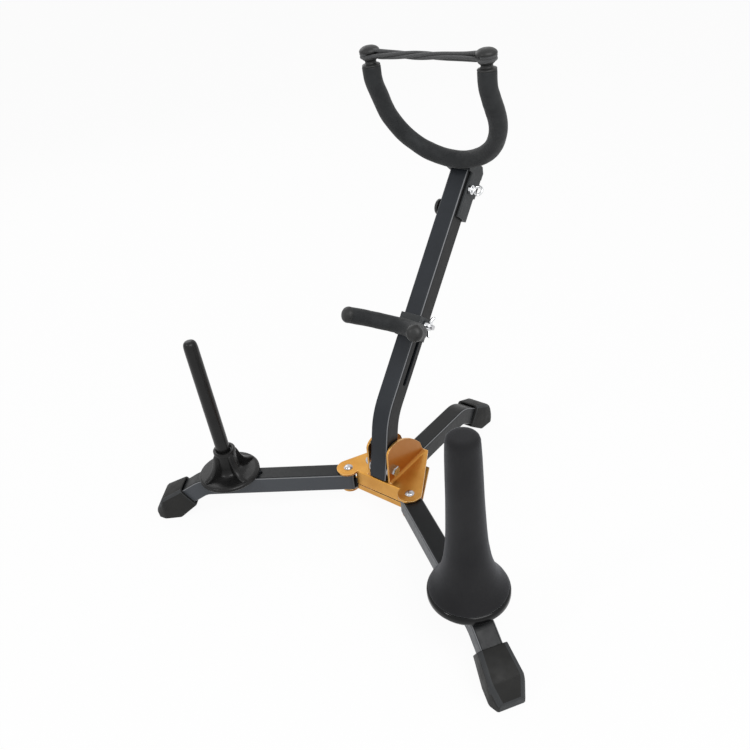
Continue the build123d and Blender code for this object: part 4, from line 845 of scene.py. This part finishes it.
cradle_turn, cradle_bend, cradle_arm, cradle_pad_r = radians(68), 34.0, 18.0, 8.0
foam_arm = cradle_arm - 0.8    # the foam ends just short of the cap
arm_dir = Vector((cos(cradle_turn), -sin(cradle_turn), 0))
far_dir = Vector((cos(cradle_turn), sin(cradle_turn), 0))
bend_start = Vector((-cradle_bend * sin(cradle_turn), cradle_bend * (1 - cos(cradle_turn)), 0))
arm_end = bend_start - arm_dir * foam_arm
far_end = Vector((-arm_end.x, arm_end.y, 0))
cradle_pad = start_tube("cradle_foam_tube", cradle_pad_r, arm_end, (0, 0, pi / 2 - cradle_turn))
pull(bend_start - arm_end, 7)
bpy.ops.mesh.spin(steps=44, angle=-2 * cradle_turn, center=(0, cradle_bend, 0), axis=(0, 0, 1))
pull(far_dir * foam_arm, 7)
end_tube(cradle_pad, cradle_pad_r, 0.2, (far_end, far_dir), (arm_end, -arm_dir),
         ((0.4, 15.0, 21.3), (0.15, 5.0, 2.9)))

cradle_dip = radians(9)
cradle_out = -mast_back * cos(cradle_dip) - mast_up * sin(cradle_dip)
cradle_face = Vector((1, 0, 0)).cross(cradle_out)
cradle_root = on_mast(0, pad_seat - cradle_pad_r, cradle_along)
set_down(cradle_pad, cradle_root, cradle_face, (1, 0, 0), 60)
# the foam is pressed flat where it seats on the bracket
flat_at, bracket_half_width = (pad_seat - 0.05) / 1000, 0.016
for vertex in cradle_pad.data.vertices:
    pressed = (vertex.co - mast_start).dot(mast_back) - flat_at
    if pressed > 0 and abs(vertex.co.x) < bracket_half_width:
        vertex.co -= mast_back * pressed
finish_piece(cradle_pad, foam, "cradle", "black_foam", "cradle_foam_sleeve")

tip_outline = [(7.95, 0), (8.0, 0.2), (7.97, 1.2), (7.75, 2.4), (7.25, 3.6), (6.4, 4.7), (5.2, 5.55)]
tip_outline += [(3.7, 6.15), (2.0, 6.43), (0.4, 6.5)]
for side, way in (("left", -1), ("right", 1)):
    tip = turned("cradle_cap_" + side, tip_outline, 48)
    end_point = bend_start - arm_dir * cradle_arm
    seat = cradle_root + (Vector((-way * end_point.x, 0, 0)) + cradle_out * end_point.y) / 1000
    out = Vector((way * cos(cradle_turn), 0, 0)) + cradle_out * sin(cradle_turn)
    set_down(tip, seat, out, cradle_face, 50)
    finish_piece(tip, button_rubber, "cradle", "cap_rubber", "cradle_tip_" + side)

# ---------------------------------------------------------------------------
# The thin peg, for a clarinet or flute: a round base with four swept fins and a collar, and a smooth
# post, all injection moulded in glossy black plastic. It screws down on to the left leg.

peg_plastic = even_finish("moulded_peg", (0.0050, 0.0050, 0.0052), (0.0090, 0.0089, 0.0089), (50, 3),
                          (170, 3, 0.24, 0.36), (1000, 3, 0.05, 0.25), gloss=0.26)

leg_top = 0.0465
thin_axis = Vector(joints["thin_peg_turn"]["pos_m"])
thin_foot = Vector((thin_axis.x, thin_axis.y, leg_top))
thin_out = Vector((thin_axis.x - left_rivet.x, thin_axis.y - left_rivet.y, 0)).normalized()
disc_outline = [(4.3, 0.9), (30.6, 0.9), (31.6, 1.2), (32.0, 1.9), (32.0, 4.3), (31.5, 5.2)]
disc_outline += [(30.2, 5.8), (27.0, 6.0), (20.0, 6.3), (15.0, 7.0), (12.9, 8.4), (11.9, 10.6)]
disc_outline += [(11.3, 15.0), (11.0, 22.0), (10.9, 29.5), (11.5, 30.0), (11.6, 30.6), (11.6, 34.0)]
disc_outline += [(11.2, 34.7), (10.3, 35.0), (8.6, 35.0), (8.1, 34.6), (7.9, 33.0)]
base_disc = turned("base_disc", disc_outline, 120)
# fine grip ribs round the edge of the disc
bench()
bpy.context.view_layer.objects.active = base_disc
base_disc.select_set(True)
bpy.ops.object.mode_set(mode="EDIT")
bpy.ops.mesh.select_mode(type="FACE")
bpy.ops.mesh.select_all(action="DESELECT")
bpy.ops.object.mode_set(mode="OBJECT")
for face in base_disc.data.polygons:
    face.select = face.center.xy.length > 31.5 and 1.9 < face.center.z < 4.3
bpy.ops.object.mode_set(mode="EDIT")
bpy.ops.mesh.inset(thickness=0.28, depth=-0.35, use_individual=True)
bpy.ops.object.mode_set(mode="OBJECT")
# a fin starts as an upright plate inside the collar and is drawn out in steps: further out, its
# new height above its foot, and its thickness scaled
fin_foot, fin_height, fin_start = 2.5, 28.5, 9.5
fin_steps = ((2.0, 28.8, 1), (1.6, 26.5, 1), (1.5, 22.0, 1), (2.0, 16.2, 1), (2.6, 11.4, 1),
             (3.6, 8.0, 1), (4.0, 6.0, 0.97), (2.6, 5.1, 0.93), (0.8, 4.0, 0.9))
fins = []
for number in range(4):
    fin = upright_plate(fin_height, 6.4, (fin_start, 0, fin_foot + fin_height / 2))
    height = fin_height
    for reach, next_height, thick in fin_steps:
        bpy.ops.mesh.extrude_region_move(TRANSFORM_OT_translate={"value": (reach, 0, 0)})
        grow = (1, thick, next_height / height)
        bpy.ops.transform.resize(value=grow, center_override=(0, 0, fin_foot))
        height = next_height
    face_outward()
    bpy.ops.mesh.select_all(action="DESELECT")
    bpy.ops.object.mode_set(mode="OBJECT")
    # the long upper edges are rounded
    for edge in fin.data.edges:
        a, b = (fin.data.vertices[v].co for v in edge.vertices)
        edge.select = abs(a.y - b.y) < 1 and min(a.z, b.z) > 3 and abs(a.x - b.x) > 0.1
    bpy.ops.object.mode_set(mode="EDIT")
    bpy.ops.mesh.select_mode(type="EDGE")
    bpy.ops.mesh.bevel(offset=1.7, segments=4, affect="EDGES", clamp_overlap=True)
    bpy.ops.mesh.select_all(action="SELECT")
    fin_turn = radians(45 + 90 * number)
    bpy.ops.transform.rotate(value=fin_turn, orient_axis="Z", center_override=(0, 0, 0))
    bpy.ops.object.mode_set(mode="OBJECT")
    fins.append(fin)
base = set_down(join_as("finned_base", [base_disc, *fins]), thin_foot, (0, 0, 1), thin_out, 40)
finish_piece(base, peg_plastic, "thin_peg", "peg_black", "thin_peg_base")

# the post stands in the collar's socket and leans outwards along the leg
post_outline = [(7.25, 0.1), (7.3, 24), (7.25, 64), (7.15, 104), (7.05, 137), (7.0, 143), (6.7, 146.1)]
post_outline += [(6.1, 148.2), (5.1, 149.6), (3.6, 150.4), (2.0, 150.75), (0.4, 150.8)]
post_lean, socket_floor = radians(2.5), 0.01532
post_dir = thin_out * sin(post_lean) + Vector((0, 0, cos(post_lean)))
post_foot = thin_foot + Vector((0, 0, socket_floor))
post = set_down(turned("smooth_post", post_outline, 56), post_foot, post_dir, (1, 0, 0), 50)
finish_piece(post, peg_plastic, "thin_peg", "peg_black", "thin_peg_post")

# ---------------------------------------------------------------------------
# The cone peg, for a soprano: a moulded trumpet-shaped core under a flocked cover, soft as velvet, on
# a glossy two-step plastic rim with a short neck. It screws down on to the right leg.

flock, tree, links, shader, where = new_finish("black_flock")
nap = grain(tree, links, where, 26, 4)
nap_tone = tones(tree, links, nap, (0.0085, 0.0085, 0.0095), (0.0150, 0.0150, 0.0160))
links.new(nap_tone, shader.inputs["Base Color"])
shader.inputs["Roughness"].default_value = 0.95
shader.inputs["Specular IOR Level"].default_value = 0.25
shader.inputs["Sheen Weight"].default_value = 0.26
shader.inputs["Sheen Roughness"].default_value = 0.42
shader.inputs["Sheen Tint"].default_value = (0.80, 0.82, 0.88, 1)
fibres = grain(tree, links, where, 2600, 2)
links.new(relief(tree, links, fibres, 0.22, 0.6), shader.inputs["Normal"])

cone_axis = Vector(joints["cone_peg_turn"]["pos_m"])
cone_foot = Vector((cone_axis.x, cone_axis.y, leg_top))
cone_outline = [(5.0, 15.05), (32.8, 15.05), (33.55, 15.3), (33.7, 15.8), (33.4, 16.5), (32.2, 18.2)]
cone_outline += [(30.2, 20.9), (27.9, 24.2), (25.7, 28.8), (23.3, 34.6), (21.4, 41.0), (19.8, 48.0)]
cone_outline += [(18.6, 56.0), (17.3, 66.0), (16.4, 80.0), (15.7, 96.0), (15.1, 112.0), (14.6, 134.0)]
cone_outline += [(14.1, 152.0), (13.6, 163.0), (13.3, 167.6), (12.7, 169.6), (11.6, 171.0)]
cone_outline += [(9.8, 171.8), (6.5, 172.0), (0.4, 172.0)]
cover = set_down(turned("flocked_cover", cone_outline, 96), cone_foot, (0, 0, 1), (1, 0, 0), 60)
finish_piece(cover, flock, "cone_peg", "black_flock", "cone_peg_flock_cover")

rim_gloss = even_finish("gloss_rim", (0.0030, 0.0031, 0.0034), (0.0050, 0.0052, 0.0056), (80, 3),
                        (210, 3, 0.09, 0.17), (500, 2, 0.03, 0.2), gloss=0.20)

rim_outline = [(4.2, 0.9), (8.4, 0.9), (8.9, 1.2), (9.0, 2.9), (9.6, 3.2), (30.4, 3.2), (31.4, 3.4)]
rim_outline += [(32.4, 4.4), (32.75, 5.6), (32.8, 7.2), (33.3, 7.6), (34.5, 7.9), (35.0, 8.3)]
rim_outline += [(35.2, 9.0), (35.2, 12.2), (35.0, 13.1), (34.5, 14.0), (33.8, 14.7), (32.9, 15.0)]
rim_outline += [(4.2, 15.0)]
rim = set_down(turned("stepped_rim", rim_outline, 96), cone_foot, (0, 0, 1), (1, 0, 0), 40)
finish_piece(rim, rim_gloss, "cone_peg", "gloss_black", "cone_peg_rim")
dress(["cone_peg_core"], peg_plastic)

# ---------------------------------------------------------------------------
# The studio: a pale floor that fades into white, a broad soft lamp high at the right, a weaker one at
# the left, a small one in front for the highlights, and the camera where the photographer stood.


def seen_ray(tree, links):
    """1 for what the camera sees, straight, in a reflection or through something clear, else 0."""
    rays = tree.new("ShaderNodeLightPath").outputs
    seen = worked_out(tree, links, "MAXIMUM", rays["Is Camera Ray"], rays["Is Glossy Ray"])
    return worked_out(tree, links, "MAXIMUM", seen, rays["Is Transmission Ray"])


bench()
bpy.ops.mesh.primitive_circle_add(vertices=96, radius=40.0, fill_type="NGON", location=(0, 0, 0))
floor = bpy.context.object
floor.name = "studio_floor"
pale, tree, links, shader, where = new_finish("pale_floor")
tree.remove(shader)
matt = tree.new("ShaderNodeBsdfDiffuse")
matt.inputs["Color"].default_value = (0.86, 0.86, 0.86, 1)
white = tree.new("ShaderNodeEmission")
white.inputs["Strength"].default_value = 1.0
# the floor keeps a faint shadow under the stand: it isn't all white even where it is seen
whiteness = worked_out(tree, links, "MULTIPLY", seen_ray(tree, links), 0.94)
blend = tree.new("ShaderNodeMixShader")
links.new(whiteness, blend.inputs["Fac"])
links.new(matt.outputs["BSDF"], blend.inputs[1])
links.new(white.outputs["Emission"], blend.inputs[2])
links.new(blend.outputs["Shader"], tree["Material Output"].inputs["Surface"])
floor.data.materials.append(pale)

world = bpy.data.worlds.new("white_room")
bpy.context.scene.world = world
world.use_nodes = True
tree, links = world.node_tree.nodes, world.node_tree.links
strength = between(tree, links, seen_ray(tree, links), 0.50, 1.0, 0, 1)
links.new(strength, tree["Background"].inputs["Strength"])
tree["Background"].inputs["Color"].default_value = (1, 1, 1, 1)


def soft_lamp(name, place, aim, width, watts):
    """A square soft lamp, pointed at the stand."""
    lamp_data = bpy.data.lights.new(name, "AREA")
    lamp_data.shape = "SQUARE"
    lamp_data.size = width
    lamp_data.energy = watts
    lamp = bpy.data.objects.new(name, lamp_data)
    bpy.context.scene.collection.objects.link(lamp)
    lamp.location = place
    lamp.rotation_euler = (Vector(aim) - Vector(place)).to_track_quat("-Z", "Y").to_euler()


soft_lamp("key_lamp", (1.15, -0.55, 1.55), (0, 0, 0.2), 1.2, 21)
soft_lamp("left_lamp", (-1.4, 0.5, 1.1), (0, 0, 0.2), 1.0, 4)
soft_lamp("small_lamp", (-0.5, -1.4, 1.3), (0, 0, 0.1), 0.22, 4)

camera_data = bpy.data.cameras.new("photographer")
camera_data.sensor_width = 36
camera_data.lens = 35.264
camera = bpy.data.objects.new("photographer", camera_data)
bpy.context.scene.collection.objects.link(camera)
camera_place = (0.38334, -0.47154, 0.54448)
heading, pitch, roll = radians(40.701), radians(57.486), radians(-6.577)
camera.matrix_world = (
    Matrix.Translation(camera_place)
    @ Matrix.Rotation(heading, 4, "Z")
    @ Matrix.Rotation(pitch, 4, "X")
    @ Matrix.Rotation(roll, 4, "Z")
)
bpy.context.scene.camera = camera
bpy.context.scene.view_settings.view_transform = "Standard"
